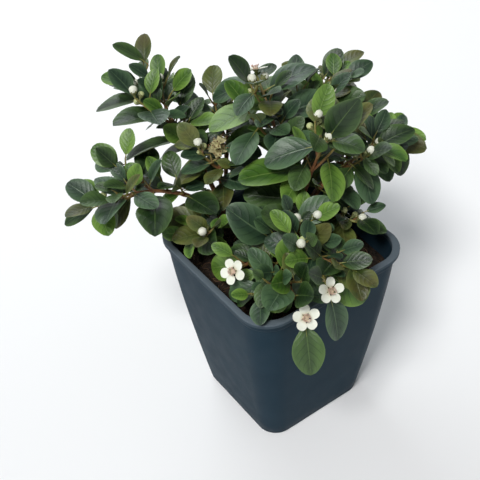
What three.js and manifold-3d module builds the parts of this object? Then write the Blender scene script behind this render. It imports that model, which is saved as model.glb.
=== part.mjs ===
// Bearberry cotoneaster in a square nursery pot: a young evergreen shrub of several stems from one root.
// Millimetres, +Z up. The origin is the middle of the pot's flat underside, and the pot's faces lie along
// X and Y. A shoot is a bare bough that springs from a stem, and beyond it a mass of leafy twigs.
import * as THREE from 'three';
import { mergeVertices } from 'three/addons/utils/BufferGeometryUtils.js';
import Module from 'manifold-3d';

const wasm = await Module();
wasm.setup();
const { Vector3, BufferGeometry, BufferAttribute } = THREE;

// Driving dimensions
const GAP = 0.3; // between pieces that touch
const POT = {
  height: 100,
  rim: 90, // outer width over the lip
  base: 62,
  rimCorner: 14,
  baseCorner: 10,
  wall: 1.3,
  floor: 1.6,
  barrel: 1.3, // how far the wall bellies out from a straight taper
  levels: [30, 62, 82], // heights at which its taper changes
  lipWidth: 1.6,
  lipHeight: 2.6,
  collarWidth: 0.5,
  collarHeight: 6,
  drainHole: 8,
  drainPlace: 19,
};
const SOIL = { top: 90, edgeDrop: 2.5, bump: 0.6, seat: 0.15 }; // seat allows for bumps under a stem
const LEAF = {
  stalk: 3.4,
  stalkRadius: 0.45,
  thickness: 0.6,
  widthShare: 0.62,
  fold: 0.2, // rise of the edges, as a share of the half width
  droop: 0.28, // of leaves well above the rim
  arch: 0.16, // droop of the tip, as a share of the length
  spacing: 7.6, // between leaves along a shoot
  spread: 62, // degrees between a shoot and its leaves
  face: 0.3, // how much a blade turns outwards from facing up
  light: 0.4, // and how much it turns to the side that the light came from
};
const TWIG = {
  length: 19,
  radius: 0.8,
  spread: 46, // degrees between a shoot and its twigs
  leafShare: 0.78, // size of a twig's leaves, as a share of the shoot's
  spacing: 7.5,
  chance: 0.62, // that a leaf's axil bears a twig
  ends: 0.75, // chance of buds or a flower at a twig's tip
  flowers: 0.3, // and that this is a flower, where one has room
};
const BOUGH = { radius: 1.5, tipRadius: 1.05, endRadius: 0.55 };
const FLOWER = { across: 12.4, heart: 1.1, stalk: 3.4 };
const BUD = { radius: 2.1, stalk: 2.3 };
const ROOM = { leaf: 2.0, twig: 1.2, buds: 3, limb: 0.8, pot: 0.7, slack: 12 }; // kept while growing
const TRIES = 10; // angles that a leaf is tried at

// Stems: where each stands on the soil, where its top leans to, its height and its radius under the fork
const STEMS = [
  { name: 'main', foot: [11, 4], top: [14, 3], height: 14, radius: 3.0 },
  { name: 'front', foot: [-13, -8], top: [-15, -9], height: 9, radius: 2.2 },
  { name: 'back', foot: [-8, 31], top: [-10, 33], height: 12, radius: 2.3 },
];

// Shoots of each stem: the share of the stem's height that it springs from, its tip, how high it arches,
// its bare share, the compass direction of its leaf rows, the length of its leaves and what ends it.
// Under a flower with a value for hang, the last leaf is large and hangs, to one side of its rows.
const SHOOTS_BY_STEM = {
  main: [
    { name: 'crown', from: 1.0, tip: [20, -9, 152], arch: 6, bare: 0.18, rows: -33, leaf: 27, end: 'buds' },
    {
      name: 'right_high', from: 0.85, tip: [45, -14, 140], arch: 11.5, bare: 0.28,
      rows: 60, leaf: 22, end: 'buds',
    },
    {
      name: 'right_out', from: 0.7, tip: [72, 2, 126], arch: 24, bare: 0.32,
      rows: 85, leaf: 23, end: 'leaves',
    },
    {
      name: 'back_right', from: 0.9, tip: [70, 48, 140], arch: 26, bare: 0.32,
      rows: 130, leaf: 23, end: 'buds',
    },
    {
      name: 'back_high', from: 0.95, tip: [22, 44, 161], arch: 12, bare: 0.3,
      rows: -20, leaf: 25, end: 'flowers',
    },
    {
      name: 'back_low', from: 0.55, tip: [36, 33, 112], arch: 9, bare: 0.3,
      rows: 130, leaf: 20, end: 'leaves',
    },
    {
      name: 'right_low', from: 0.6, tip: [26, -24, 113], arch: 9, bare: 0.3,
      rows: 20, leaf: 18, end: 'buds',
    },
    {
      name: 'front_right', from: 0.75, tip: [-9, -47, 107], arch: 14, bare: 0.26,
      rows: 0, leaf: 22, end: 'flower', hang: 1.3,
    },
  ],
  front: [
    {
      name: 'front_drooping', from: 0.9, tip: [-25, -50, 103], arch: 14, bare: 0.2,
      rows: 5, leaf: 23, end: 'flower', hang: 1.1, side: -1,
    },
    {
      name: 'front_left', from: 0.7, tip: [-34, -13, 108], arch: 8, bare: 0.2,
      rows: 80, leaf: 20, end: 'flower',
    },
    {
      name: 'front_corner', from: 0.5, tip: [-33, -29, 105], arch: 7, bare: 0.24,
      rows: -50, leaf: 19, end: 'leaves',
    },
    {
      name: 'middle', from: 1.0, tip: [-3, -14, 121], arch: 4, bare: 0.2,
      rows: -40, leaf: 22, end: 'buds',
    },
  ],
  back: [
    {
      name: 'left_high', from: 1.0, tip: [-9, 34, 140], arch: 4, bare: 0.4,
      rows: -30, leaf: 22, end: 'spent',
    },
    {
      name: 'left_low', from: 0.6, tip: [-31, 22, 103], arch: 8, bare: 0.22,
      rows: 70, leaf: 19, end: 'leaves',
    },
    {
      name: 'left_out', from: 0.8, tip: [-66, 52, 122], arch: 22, bare: 0.32,
      rows: 75, leaf: 23, end: 'buds',
    },
    {
      name: 'back_left', from: 0.9, tip: [-18, 92, 146], arch: 26, bare: 0.32,
      rows: 10, leaf: 25, end: 'buds',
    },
    {
      name: 'back_out', from: 0.75, tip: [34, 84, 124], arch: 28, bare: 0.32,
      rows: -25, leaf: 23, end: 'flowers',
    },
  ],
};
const SHOOTS = STEMS.flatMap(({ name }) => SHOOTS_BY_STEM[name].map((shoot) => ({ ...shoot, stem: name })));

const COLOURS = { pot: 0x43505c, soil: 0x2b211b, stem: 0x4a382c, bough: 0x7a5233, foliage: 0x5d7d4b };

const mix = (a, b, share) => a + (b - a) * share;
const radians = THREE.MathUtils.degToRad;
const compass = (degrees) => new Vector3(Math.cos(radians(degrees)), Math.sin(radians(degrees)), 0);

const LIGHT = compass(237);

// A repeatable chance between 0 and 1 for each item of each joint of each shoot
function chance(shoot, joint, item) {
  const wave = Math.sin(shoot * 12.9898 + joint * 78.233 + item * 37.719) * 43758.5453;
  return wave - Math.floor(wave);
}

// A closed surface from rings of equal count, closed by a flat fan, or by a last ring of one point
function loft(rings) {
  const count = rings[0].length;
  const points = rings.flat();
  const faces = [];
  const fan = (first, flip) => {
    for (let i = first + 1; i + 1 < first + count; i++) faces.push(first, flip ? i + 1 : i, flip ? i : i + 1);
  };
  fan(0, true);
  for (let r = 0; r + 1 < rings.length; r++) {
    const pointed = rings[r + 1].length === 1;
    for (let i = 0; i < count; i++) {
      const a = r * count + i;
      const b = r * count + ((i + 1) % count);
      if (pointed) faces.push(a, b, (r + 1) * count);
      else faces.push(a, b, b + count, a, b + count, a + count);
    }
    if (r + 2 === rings.length && !pointed) fan((r + 1) * count, false);
  }
  return surface(points, faces);
}

function surface(points, faces) {
  const places = new Float32Array(points.flatMap((point) => point.toArray()));
  const geometry = new BufferGeometry();
  geometry.setAttribute('position', new BufferAttribute(places, 3));
  geometry.setIndex(faces);
  return geometry;
}

function solid(geometry) {
  const bare = geometry.clone();
  bare.deleteAttribute('normal');
  bare.deleteAttribute('uv');
  const merged = mergeVertices(bare, 1e-5);
  const corners = merged.index.array;
  const kept = [];
  for (let i = 0; i < corners.length; i += 3) {
    const face = [corners[i], corners[i + 1], corners[i + 2]];
    if (new Set(face).size === 3) kept.push(...face);
  }
  const vertProperties = merged.attributes.position.array;
  return new wasm.Manifold(new wasm.Mesh({ numProp: 3, vertProperties, triVerts: new Uint32Array(kept) }));
}

// The largest body of a solid, with any hollow that fusing sealed in it filled
function oneBody(shape) {
  return shape.decompose().sort((a, b) => b.volume() - a.volume())[0];
}

function meshOf(name, shape, colour, roughness) {
  const { vertProperties, triVerts } = shape.getMesh();
  const geometry = new BufferGeometry();
  geometry.setAttribute('position', new BufferAttribute(new Float32Array(vertProperties), 3));
  geometry.setIndex(new BufferAttribute(new Uint32Array(triVerts), 1));
  geometry.computeVertexNormals();
  const material = new THREE.MeshStandardMaterial({ color: colour, roughness, metalness: 0 });
  const mesh = new THREE.Mesh(geometry, material);
  mesh.name = name;
  return mesh;
}

// A tapering limb: rings across its route, each turned on from the last with the least twist
function limb(route, radiusAt, sides) {
  let across = new Vector3(0.3, 1, 0.2);
  const rings = route.map(({ place, along }, k) => {
    across = across.clone().addScaledVector(along, -across.dot(along)).normalize();
    const other = along.clone().cross(across);
    const radius = radiusAt(k / (route.length - 1));
    return ringOf(place, across, other, radius, sides);
  });
  return loft(rings);
}

function ringOf(middle, across, other, radius, sides) {
  return Array.from({ length: sides }, (_, i) => {
    const turn = (2 * Math.PI * i) / sides;
    const point = middle.clone().addScaledVector(across, radius * Math.cos(turn));
    return point.addScaledVector(other, radius * Math.sin(turn));
  });
}

// A route between two shares of a curve, with the direction at each step
function routeOf(curve, start, end, steps) {
  return Array.from({ length: steps + 1 }, (_, k) => {
    const share = mix(start, end, k / steps);
    return { place: curve.getPoint(share), along: curve.getTangent(share) };
  });
}

// Pot: a thin moulded shell, square with round corners
function potHalf(z) {
  const rise = Math.min(z / POT.height, 1);
  return mix(POT.base / 2, POT.rim / 2 - POT.lipWidth, 1 - (1 - rise) ** POT.barrel);
}

const potCorner = (z) => mix(POT.baseCorner, POT.rimCorner, z / POT.height);

function squareRing(half, corner, z, stepsPerCorner = 4) {
  const ring = [];
  for (let quarter = 0; quarter < 4; quarter++) {
    for (let step = 0; step < stepsPerCorner; step++) {
      const turn = (Math.PI / 2) * (quarter + step / (stepsPerCorner - 1));
      const middle = compass(45 + 90 * quarter).multiplyScalar((half - corner) * Math.SQRT2);
      ring.push(new Vector3(middle.x + corner * Math.cos(turn), middle.y + corner * Math.sin(turn), z));
    }
  }
  return ring;
}

function pot() {
  const { height, wall, lipWidth, lipHeight, collarWidth, collarHeight } = POT;
  const ring = (z, out) => squareRing(potHalf(z) + out, potCorner(z) + out, z);
  const lipFoot = height - lipHeight;
  const collarFoot = height - collarHeight;
  const shell = loft([
    ring(0, -0.8),
    ring(0.8, 0),
    ...POT.levels.map((z) => ring(z, 0)),
    ring(collarFoot - 0.6, 0),
    ring(collarFoot, collarWidth),
    ring(lipFoot - 0.4, collarWidth),
    ring(lipFoot, lipWidth * 0.8),
    ring(lipFoot + 0.6, lipWidth),
    ring(height - 0.6, lipWidth),
    ring(height, lipWidth * 0.7),
    ring(height, -wall * 0.5),
    ring(height - 0.6, -wall),
    ...POT.levels.toReversed().map((z) => ring(z, -wall)),
    ring(POT.floor, -wall),
  ]);
  const holes = [45, 135, 225, 315].map((degrees) => {
    const hole = new THREE.CylinderGeometry(POT.drainHole / 2, POT.drainHole / 2, 4 * POT.floor, 8);
    const place = compass(degrees).multiplyScalar(POT.drainPlace * Math.SQRT2);
    return solid(hole.rotateX(Math.PI / 2).translate(place.x, place.y, 0));
  });
  return oneBody(holes.reduce((left, hole) => left.subtract(hole), solid(shell)));
}

// Soil: it fills the pot to a little under the rim, sinks at the wall and is slightly uneven
function soilHeight(x, y) {
  const reach = Math.hypot(x, y) / (POT.rim / 2);
  const bumps = 0.5 + 0.5 * Math.sin(0.31 * x + 1.7) * Math.sin(0.27 * y + 0.4);
  return SOIL.top - SOIL.edgeDrop * reach ** 4 - SOIL.bump * bumps;
}

function soil() {
  const clear = POT.wall + GAP;
  const ringAt = (z) => squareRing(potHalf(z) - clear, potCorner(z) - clear, z);
  const wallRings = [POT.floor + GAP, ...POT.levels].map(ringAt);
  const topRings = [1, 0.82, 0.6, 0.38, 0.15].map((share) =>
    wallRings.at(-1).map(({ x, y }) => new Vector3(x * share, y * share, soilHeight(x * share, y * share))),
  );
  return oneBody(solid(loft([...wallRings, ...topRings])));
}

// Room for growth: how far a point lies outside a square with round corners
function outside(x, y, half, corner) {
  const a = Math.abs(x) - (half - corner);
  const b = Math.abs(y) - (half - corner);
  return Math.hypot(Math.max(a, 0), Math.max(b, 0)) + Math.min(Math.max(a, b), 0) - corner;
}

function clearOfPot({ x, y, z }) {
  if (z > POT.height + ROOM.pot) return true;
  if (outside(x, y, POT.rim / 2, POT.rimCorner) > ROOM.pot) return true;
  const within = outside(x, y, potHalf(z) - POT.wall, potCorner(z)) < -ROOM.pot;
  return within && z > soilHeight(x, y) + ROOM.pot;
}

const OPEN = -2; // owner of the room kept over a flower
const taken = []; // spots that limbs and leaves fill: place, reach, shoot

function take(place, reach, shoot) {
  taken.push({ place, reach, shoot });
}

function hasRoom(points, reach, shoot, root) {
  return points.every((point) => {
    if (!clearOfPot(point)) return false;
    return taken.every((spot) => {
      const away = point.distanceTo(spot.place);
      if (spot.shoot === shoot) return away > 0.95 * reach || point.distanceTo(root) < 2.2 * reach;
      return away > reach + spot.reach;
    });
  });
}

function inOwnSpace(point, shoot) {
  let own = Infinity;
  let other = Infinity;
  for (const { spine, index } of shoots) {
    for (const place of spine) {
      const away = point.distanceTo(place);
      if (index === shoot) own = Math.min(own, away);
      else other = Math.min(other, away);
    }
  }
  return own < other + ROOM.slack;
}

// Stems and shoots as curves
function stemCurve(stem) {
  const foot = new Vector3(stem.foot[0], stem.foot[1], soilHeight(...stem.foot) + SOIL.seat + GAP);
  const top = new Vector3(stem.top[0], stem.top[1], SOIL.top + stem.height);
  return new THREE.QuadraticBezierCurve3(foot, new Vector3(foot.x, foot.y, mix(foot.z, top.z, 0.5)), top);
}

const stemCurves = Object.fromEntries(STEMS.map((stem) => [stem.name, stemCurve(stem)]));

const shoots = SHOOTS.map((shoot, index) => {
  const foot = stemCurves[shoot.stem].getPoint(shoot.from * 0.96);
  const tip = new Vector3(...shoot.tip);
  const bend = new Vector3(mix(foot.x, tip.x, 0.42), mix(foot.y, tip.y, 0.42), mix(foot.z, tip.z, 0.5));
  bend.z += shoot.arch;
  const curve = new THREE.QuadraticBezierCurve3(foot, bend, tip);
  const length = curve.getLength();
  const steps = Math.round(length / 3);
  const spine = routeOf(curve, shoot.bare, 1, steps).map(({ place }) => place);
  return { ...shoot, index, curve, length, spine, twigs: [], leaves: [], ends: [] };
});

for (const stem of STEMS) {
  for (const { place } of routeOf(stemCurves[stem.name], 0, 1, 5)) take(place, stem.radius, -1);
}
for (const { curve, index } of shoots) {
  for (const { place } of routeOf(curve, 0.1, 1, 24)) take(place, ROOM.limb, index);
}

// Leaf blade: half its width along its length, and a point of its surface
const bladeHalf = (u, width) => (width / 2) * Math.sin(Math.PI * u ** 1.1) ** mix(0.9, 0.5, u);

function bladePoint(leaf, u, v, lift = 0) {
  const half = bladeHalf(u, leaf.width) * v;
  return leaf.base
    .clone()
    .addScaledVector(leaf.along, leaf.length * u)
    .addScaledVector(leaf.side, half)
    .addScaledVector(leaf.up, LEAF.fold * Math.abs(half) - LEAF.arch * leaf.length * u * u + lift);
}

function bladeSpots(leaf) {
  const spots = [];
  for (let k = 1; k <= 8; k++) {
    for (let v = -3; v <= 3; v++) spots.push(bladePoint(leaf, 0.12 * k + 0.02, v / 3.15));
  }
  return spots;
}

// A direction that leaves a limb at an angle, towards one side of its leaf rows and turned up or down
function branchOff(along, rows, sign, spread, turn) {
  const side = rows.clone().addScaledVector(along, -rows.dot(along)).normalize();
  const other = along.clone().cross(side);
  if (other.z < 0) other.negate();
  return along
    .clone()
    .multiplyScalar(Math.cos(spread))
    .addScaledVector(side, sign * Math.sin(spread) * Math.cos(turn))
    .addScaledVector(other, Math.sin(spread) * Math.sin(turn))
    .normalize();
}

// A leaf on its bearer, a shoot or one of its twigs, is tried at a few angles, and left out where none has
// room. A tip's leaf has a value for hang: it runs on along the shoot and leans down by that much.
function growLeaf(shoot, bearer, key, root, along, rows, sign, length, hang = null) {
  const out = new Vector3(root.x, root.y, 0).normalize();
  const droop = hang ?? LEAF.droop * THREE.MathUtils.clamp((root.z - POT.height) / 25, 0, 1);
  for (let attempt = 0; attempt < TRIES; attempt++) {
    const draw = (item) => chance(shoot.index + 1, key, attempt * 10 + item) * 2 - 1;
    const spread = hang === null ? LEAF.spread + 24 * along.z + 18 * draw(1) : 14 + 10 * draw(1);
    const turn = 8 + (36 + 6 * attempt) * draw(2);
    const heading = branchOff(along, rows, sign, radians(spread), radians(turn));
    heading.z -= droop;
    heading.normalize();
    const up = new Vector3(0.3 * draw(4), 0.3 * draw(5), 1);
    up.addScaledVector(out, LEAF.face).addScaledVector(LIGHT, LEAF.light);
    up.addScaledVector(heading, -up.dot(heading)).normalize();
    const size = length * (1 + 0.12 * draw(3)) * (1 - 0.03 * attempt);
    const leaf = {
      root,
      base: root.clone().addScaledVector(heading, LEAF.stalk * (size / 22)),
      along: heading,
      side: up.clone().cross(heading),
      up,
      length: size,
      width: size * LEAF.widthShare * (1 + 0.1 * draw(6)),
    };
    const spots = bladeSpots(leaf);
    if (!inOwnSpace(bladePoint(leaf, 0.6, 0), shoot.index)) continue;
    if (!hasRoom(spots, ROOM.leaf, shoot.index, root)) continue;
    for (const spot of spots) take(spot, 0, shoot.index);
    bearer.leaves.push(leaf);
    return;
  }
}

// The direction that a flower or bud at a tip faces: up and a little on along the shoot, and a low one
// outwards too
function facingOf(place, along) {
  const out = new Vector3(place.x, place.y, 0).normalize();
  const lean = mix(0.75, 0.3, THREE.MathUtils.clamp((place.z - POT.height - 10) / 20, 0, 1));
  return new Vector3(0, 0, 1).addScaledVector(out, lean).addScaledVector(along, 0.35).normalize();
}

// A bloom or a group of buds; over an open flower some room is kept, so that it can be seen
function addEnd(shoot, bearer, kind, place, along) {
  const facing = facingOf(place, along);
  const above = (reach) => place.clone().addScaledVector(facing, reach);
  bearer.ends.push({ kind, place, along, facing });
  take(above(BUD.stalk), BUD.radius, shoot.index);
  if (kind.startsWith('flower')) {
    for (const reach of [FLOWER.stalk, 9, 15]) take(above(reach), FLOWER.across / 3, OPEN);
  }
}

// A side twig: bent up towards the light, with a few smaller leaves and now and then buds or flowers
function growTwig(shoot, key, root, along, rows, sign, size) {
  const draw = (item) => chance(shoot.index + 1, key, 100 + item) * 2 - 1;
  const [spread, turn] = [TWIG.spread + 10 * draw(1), 30 + 30 * draw(2)];
  const heading = branchOff(along, rows, sign, radians(spread), radians(turn));
  const length = size * TWIG.length * (1 + 0.3 * draw(3));
  const bend = root.clone().addScaledVector(heading, length * 0.5);
  const tip = root.clone().addScaledVector(heading, length * 0.9).addScaledVector(along, length * 0.2);
  tip.z += length * 0.18;
  const curve = new THREE.QuadraticBezierCurve3(root, bend, tip);
  const route = routeOf(curve, 0, 1, 3);
  const spots = route.slice(1).map(({ place }) => place);
  if (!inOwnSpace(tip, shoot.index) || !hasRoom(spots, ROOM.twig, shoot.index, root)) return;
  for (const spot of spots) take(spot, ROOM.twig / 2, shoot.index);
  const twig = { route, leaves: [], ends: [] };
  shoot.twigs.push(twig);
  const leafLength = shoot.leaf * TWIG.leafShare;
  const across = heading.clone().cross(new Vector3(0, 0, 1)).normalize();
  const count = Math.max(1, Math.round(length / TWIG.spacing) - 1);
  for (let k = 1; k <= count; k++) {
    const share = k / (count + 1);
    const place = curve.getPoint(share);
    growLeaf(shoot, twig, key * 10 + k, place, curve.getTangent(share), across, k % 2 ? 1 : -1, leafLength);
  }
  const onward = curve.getTangent(1);
  if (chance(shoot.index + 1, key, 121) < TWIG.ends) {
    const middle = tip.clone().addScaledVector(facingOf(tip, onward), BUD.stalk + BUD.radius);
    const fits = (reach) => hasRoom([middle], reach, shoot.index, root);
    const blooms = chance(shoot.index + 1, key, 120) < TWIG.flowers;
    if (blooms && fits(FLOWER.across / 2 + 1)) addEnd(shoot, twig, 'flower', tip, onward);
    else if (fits(ROOM.buds)) addEnd(shoot, twig, 'buds', tip, onward);
  }
  growLeaf(shoot, twig, key * 10 + 9, tip, onward, across, 1, leafLength * 0.8, 0.05);
}

// The shoot's own end, leaves in two rows along it, and side twigs in the axils of some of them
for (const shoot of shoots) {
  const { index, curve, bare, length } = shoot;
  const rows = compass(shoot.rows);
  const [tip, onward] = [curve.getPoint(1), curve.getTangent(1)];
  addEnd(shoot, shoot, shoot.end, tip, onward);
  const { hang = 0.05, side = 1 } = shoot;
  const lastSize = shoot.leaf * (shoot.hang ? 1.02 : 0.8);
  growLeaf(shoot, shoot, 91, tip, onward, rows, side, lastSize, hang);
  const joints = Math.max(4, Math.round((length * (1 - bare)) / LEAF.spacing));
  const shareOf = (joint) => mix(bare + 0.04, 0.97, joint / (joints - 1));
  const signOf = (joint) => ((joint + index) % 2 ? 1 : -1);
  for (let joint = 0; joint < joints; joint++) {
    const share = shareOf(joint);
    const size = shoot.leaf * mix(0.86, 1.06, Math.sin(Math.PI * Math.min(1, 0.2 + joint / joints)));
    const [place, along] = [curve.getPoint(share), curve.getTangent(share)];
    growLeaf(shoot, shoot, joint + 1, place, along, rows, signOf(joint), size);
  }
  for (let joint = 1; joint < joints - 1; joint++) {
    const key = joint + 40;
    if (chance(index + 1, key, 7) > TWIG.chance) continue;
    const share = shareOf(joint);
    const size = mix(1.1, 0.7, share);
    growTwig(shoot, key, curve.getPoint(share), curve.getTangent(share), rows, -signOf(joint), size);
  }
}

// Solids of a mass. A leaf is one thin folded blade that runs on into its stalk, sunk in the twig.
const BLADE_STEPS = [0.3, 0.62, 0.88];

function leafSolid(leaf) {
  const { root, side, up } = leaf;
  const stalkRing = (middle, radius) => {
    const [right, left] = [1, -1].map((sign) => middle.clone().addScaledVector(side, sign * radius));
    const under = (point) => point.addScaledVector(up, -0.4 * radius);
    return [under(right), middle.clone().addScaledVector(up, radius), under(left), left];
  };
  const rings = [stalkRing(root, LEAF.stalkRadius / 2), stalkRing(bladePoint(leaf, 0, 0), LEAF.stalkRadius)];
  for (const u of BLADE_STEPS) {
    const thick = (LEAF.thickness / 2) * (1 - 0.4 * u);
    const [right, top] = [bladePoint(leaf, u, 1), bladePoint(leaf, u, 0, thick)];
    rings.push([right, top, bladePoint(leaf, u, -1), bladePoint(leaf, u, 0, -thick)]);
  }
  rings.push([bladePoint(leaf, 1, 0)]);
  return solid(loft(rings));
}

// Two directions across a heading, and a ring across it
function tangentPair(heading) {
  const across = new Vector3(0.2, 1, 0.1).cross(heading).normalize();
  return [across, heading.clone().cross(across)];
}

function ringAcross(middle, heading, radius, sides) {
  return ringOf(middle, ...tangentPair(heading), radius, sides);
}

// A round bud on its stalk
function budSolid(root, heading, radius) {
  const along = (reach) => root.clone().addScaledVector(heading, reach);
  const reach = BUD.stalk + radius;
  return solid(
    loft([
      ringAcross(root, heading, 0.2, 4),
      ringAcross(along(reach - radius), heading, 0.5, 4),
      ringAcross(along(reach - 0.25 * radius), heading, radius, 4),
      ringAcross(along(reach + 0.6 * radius), heading, radius * 0.82, 4),
      [along(reach + radius)],
    ]),
  );
}

// An open flower: a stalk that widens into five round petals, one disc with notches between them
function flowerSolid(root, heading) {
  const [across, other] = tangentPair(heading);
  const middle = root.clone().addScaledVector(heading, FLOWER.stalk);
  const petalPoints = [[-36, 0.36], [-21, 0.86], [0, 1], [21, 0.86]]; // turn and share of the reach
  const rim = Array.from({ length: 5 }, (_, petal) =>
    petalPoints.map(([turn, share]) => {
      const angle = radians(72 * petal + turn);
      const reach = (share * FLOWER.across) / 2;
      const point = middle.clone().addScaledVector(heading, 0.1 * reach);
      point.addScaledVector(across, reach * Math.cos(angle));
      return point.addScaledVector(other, reach * Math.sin(angle));
    }),
  ).flat();
  const foot = ringAcross(root, heading, 0.25, 5);
  const neck = ringAcross(middle.clone().addScaledVector(heading, -0.8), heading, 0.7, 5);
  const peak = middle.clone().addScaledVector(heading, FLOWER.heart);
  const faces = [20, 24, 23, 20, 23, 22, 20, 22, 21];
  for (let petal = 0; petal < 5; petal++) {
    const next = (petal + 1) % 5;
    const [a, b] = [25 + petal, 25 + next];
    faces.push(20 + petal, 20 + next, b, 20 + petal, b, a);
    for (let k = 0; k < 4; k++) {
      const [here, there] = [4 * petal + k, (4 * petal + k + 1) % 20];
      faces.push(here, there, 30, there, here, a);
    }
    faces.push(4 * next, a, b);
  }
  return solid(surface([...rim, ...foot, ...neck, peak], faces));
}

// Buds at a tip: how far back along the shoot each is rooted, its lean across two ways, and its size
const BUD_GROUPS = {
  leaves: [],
  flower: [],
  flowers: [[3, 1.9, 0.6, 1], [5.5, -1.7, 0.9, 0.8]],
  buds: [[0, 0.2, 0, 1], [2.6, 1.1, 0.9, 0.75], [5, -0.8, 1.2, 0.75]],
  spent: [
    [0, 0.9, 0, 0.7], [1, -0.4, -0.9, 0.7], [2, 0.3, 0.9, 0.7], [3.6, -0.8, 0.4, 0.7], [4.5, 0.9, -0.5, 0.7],
    [5.6, -0.3, -0.9, 0.7], [7, 0.5, 1, 0.7],
  ],
};

function endSolids({ kind, place, along, facing }) {
  const [across, other] = tangentPair(facing);
  const buds = BUD_GROUPS[kind].map(([back, a, b, size]) => {
    const heading = facing.clone().addScaledVector(across, a).addScaledVector(other, b).normalize();
    return budSolid(place.clone().addScaledVector(along, -back), heading, BUD.radius * size);
  });
  return kind.startsWith('flower') ? [flowerSolid(place, facing), ...buds] : buds;
}

// Limbs. A bough is cut clear of its stem and of the boughs made before it.
function stemSolid(stem, extra = 0) {
  const route = routeOf(stemCurves[stem.name], 0, 1, 5);
  const flare = (share) => stem.radius * (1.12 - 0.12 * share + 0.75 * Math.exp(-share * 6)) + extra;
  return solid(limb(route, flare, 8));
}

const boughRadius = (share) => mix(BOUGH.radius, BOUGH.tipRadius, share);

function boughSolid(shoot, extra = 0) {
  return solid(limb(routeOf(shoot.curve, 0, shoot.bare, 4), (share) => boughRadius(share) + extra, 5));
}

// Masses. The stems of all masses and what ends them come first. A twig, leaf or bud that would come
// nearer than the gap to any piece but its own mass is left out.
const placed = []; // solids, each with the shoot that owns it

function place(shape, owner = -1) {
  placed.push({ shape, owner });
  return shape;
}

function isClear(shape, owner) {
  return placed.every((other) => other.owner === owner || other.shape.minGap(shape, 2 * GAP) >= GAP);
}

function massStem(shoot) {
  const start = shoot.bare + GAP / shoot.length;
  const steps = Math.max(4, Math.round(shoot.length / 13));
  const radiusAt = (share) => mix(BOUGH.tipRadius, BOUGH.endRadius, share);
  const stem = solid(limb(routeOf(shoot.curve, start, 1, steps), radiusAt, 5));
  return wasm.Manifold.union([stem, ...shoot.ends.flatMap(endSolids)]);
}

function massSolid(shoot, stem) {
  const parts = [stem];
  const addClear = (shapes) => parts.push(...shapes.filter((shape) => isClear(shape, shoot.index)));
  addClear(shoot.leaves.map(leafSolid));
  for (const { route, leaves, ends } of shoot.twigs) {
    const twig = solid(limb(route, (share) => mix(TWIG.radius, BOUGH.endRadius, share), 3));
    if (!isClear(twig, shoot.index)) continue;
    parts.push(twig);
    addClear([...leaves.map(leafSolid), ...ends.flatMap(endSolids)]);
  }
  return oneBody(wasm.Manifold.union(parts));
}

const plant = new THREE.Group();
const add = (name, shape, colour, roughness) => plant.add(meshOf(name, place(shape), colour, roughness));
add('pot', pot(), COLOURS.pot, 0.45);
add('soil', soil(), COLOURS.soil, 0.95);

let limbs = null; // stems and boughs so far, grown by the gap
for (const stem of STEMS) {
  add(`stem_${stem.name}`, oneBody(stemSolid(stem)), COLOURS.stem, 0.8);
  const grown = stemSolid(stem, GAP);
  limbs = limbs ? limbs.add(grown) : grown;
}
for (const shoot of shoots) {
  add(`bough_${shoot.name}`, oneBody(boughSolid(shoot).subtract(limbs)), COLOURS.bough, 0.7);
  limbs = limbs.add(boughSolid(shoot, GAP));
}
const massStems = shoots.map((shoot) => place(massStem(shoot), shoot.index));
for (const shoot of shoots) {
  const mass = place(massSolid(shoot, massStems[shoot.index]), shoot.index);
  plant.add(meshOf(`foliage_${shoot.name}`, mass, COLOURS.foliage, 0.5));
}

export default plant;
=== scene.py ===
# Young bearberry cotoneaster in a square nursery pot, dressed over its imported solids.
# Lengths are written in millimetres, and become metres where a mesh is made.
from math import atan2, cos, floor, hypot, pi, radians, sin, sqrt
from types import SimpleNamespace

import bpy
import numpy as np
from mathutils import Euler, Matrix, Vector, noise
from numpy.linalg import norm


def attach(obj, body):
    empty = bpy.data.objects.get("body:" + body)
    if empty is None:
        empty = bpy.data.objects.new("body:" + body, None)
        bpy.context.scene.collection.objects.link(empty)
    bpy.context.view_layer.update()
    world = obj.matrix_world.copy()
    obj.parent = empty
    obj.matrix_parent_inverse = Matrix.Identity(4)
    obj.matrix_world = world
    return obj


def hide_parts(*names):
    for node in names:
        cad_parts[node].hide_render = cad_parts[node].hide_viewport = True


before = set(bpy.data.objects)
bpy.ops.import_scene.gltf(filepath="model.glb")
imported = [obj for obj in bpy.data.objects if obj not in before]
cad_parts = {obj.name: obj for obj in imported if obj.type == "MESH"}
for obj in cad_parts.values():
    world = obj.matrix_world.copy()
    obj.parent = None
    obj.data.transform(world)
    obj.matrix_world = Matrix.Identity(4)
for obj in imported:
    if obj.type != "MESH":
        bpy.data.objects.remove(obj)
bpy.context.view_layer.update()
MM = 0.001


# Pot: a thin shell of slate blue plastic, injection moulded, square with round corners. It widens and
# bellies slightly from base to rim, and its mouth is stiffened by a narrow collar under a square lip.
# Four round holes in the floor let the water out.
POT_HEIGHT = 100.0
POT_RIM = 90.0
POT_BASE = 62.0
RIM_CORNER = 14.0
BASE_CORNER = 10.0
CORNER_STEPS = 10
POT_WALL = 1.3
POT_FLOOR = 1.6
POT_BARREL = 1.3
FOOT_ROUNDING = 0.8
LIP_WIDTH = 1.6
LIP_FOOT = 97.4
COLLAR_FOOT = 94.0
COLLAR_WIDTH = 0.5
WALL_LEVELS = [8, 18, 28, 38, 48, 58, 68, 78, 86]
DRAIN_RADIUS = 4.0
DRAIN_PLACE = 19.0
DRILL_LENGTH = 6.0


def mix(a, b, share):
    return a + (b - a) * share


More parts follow.
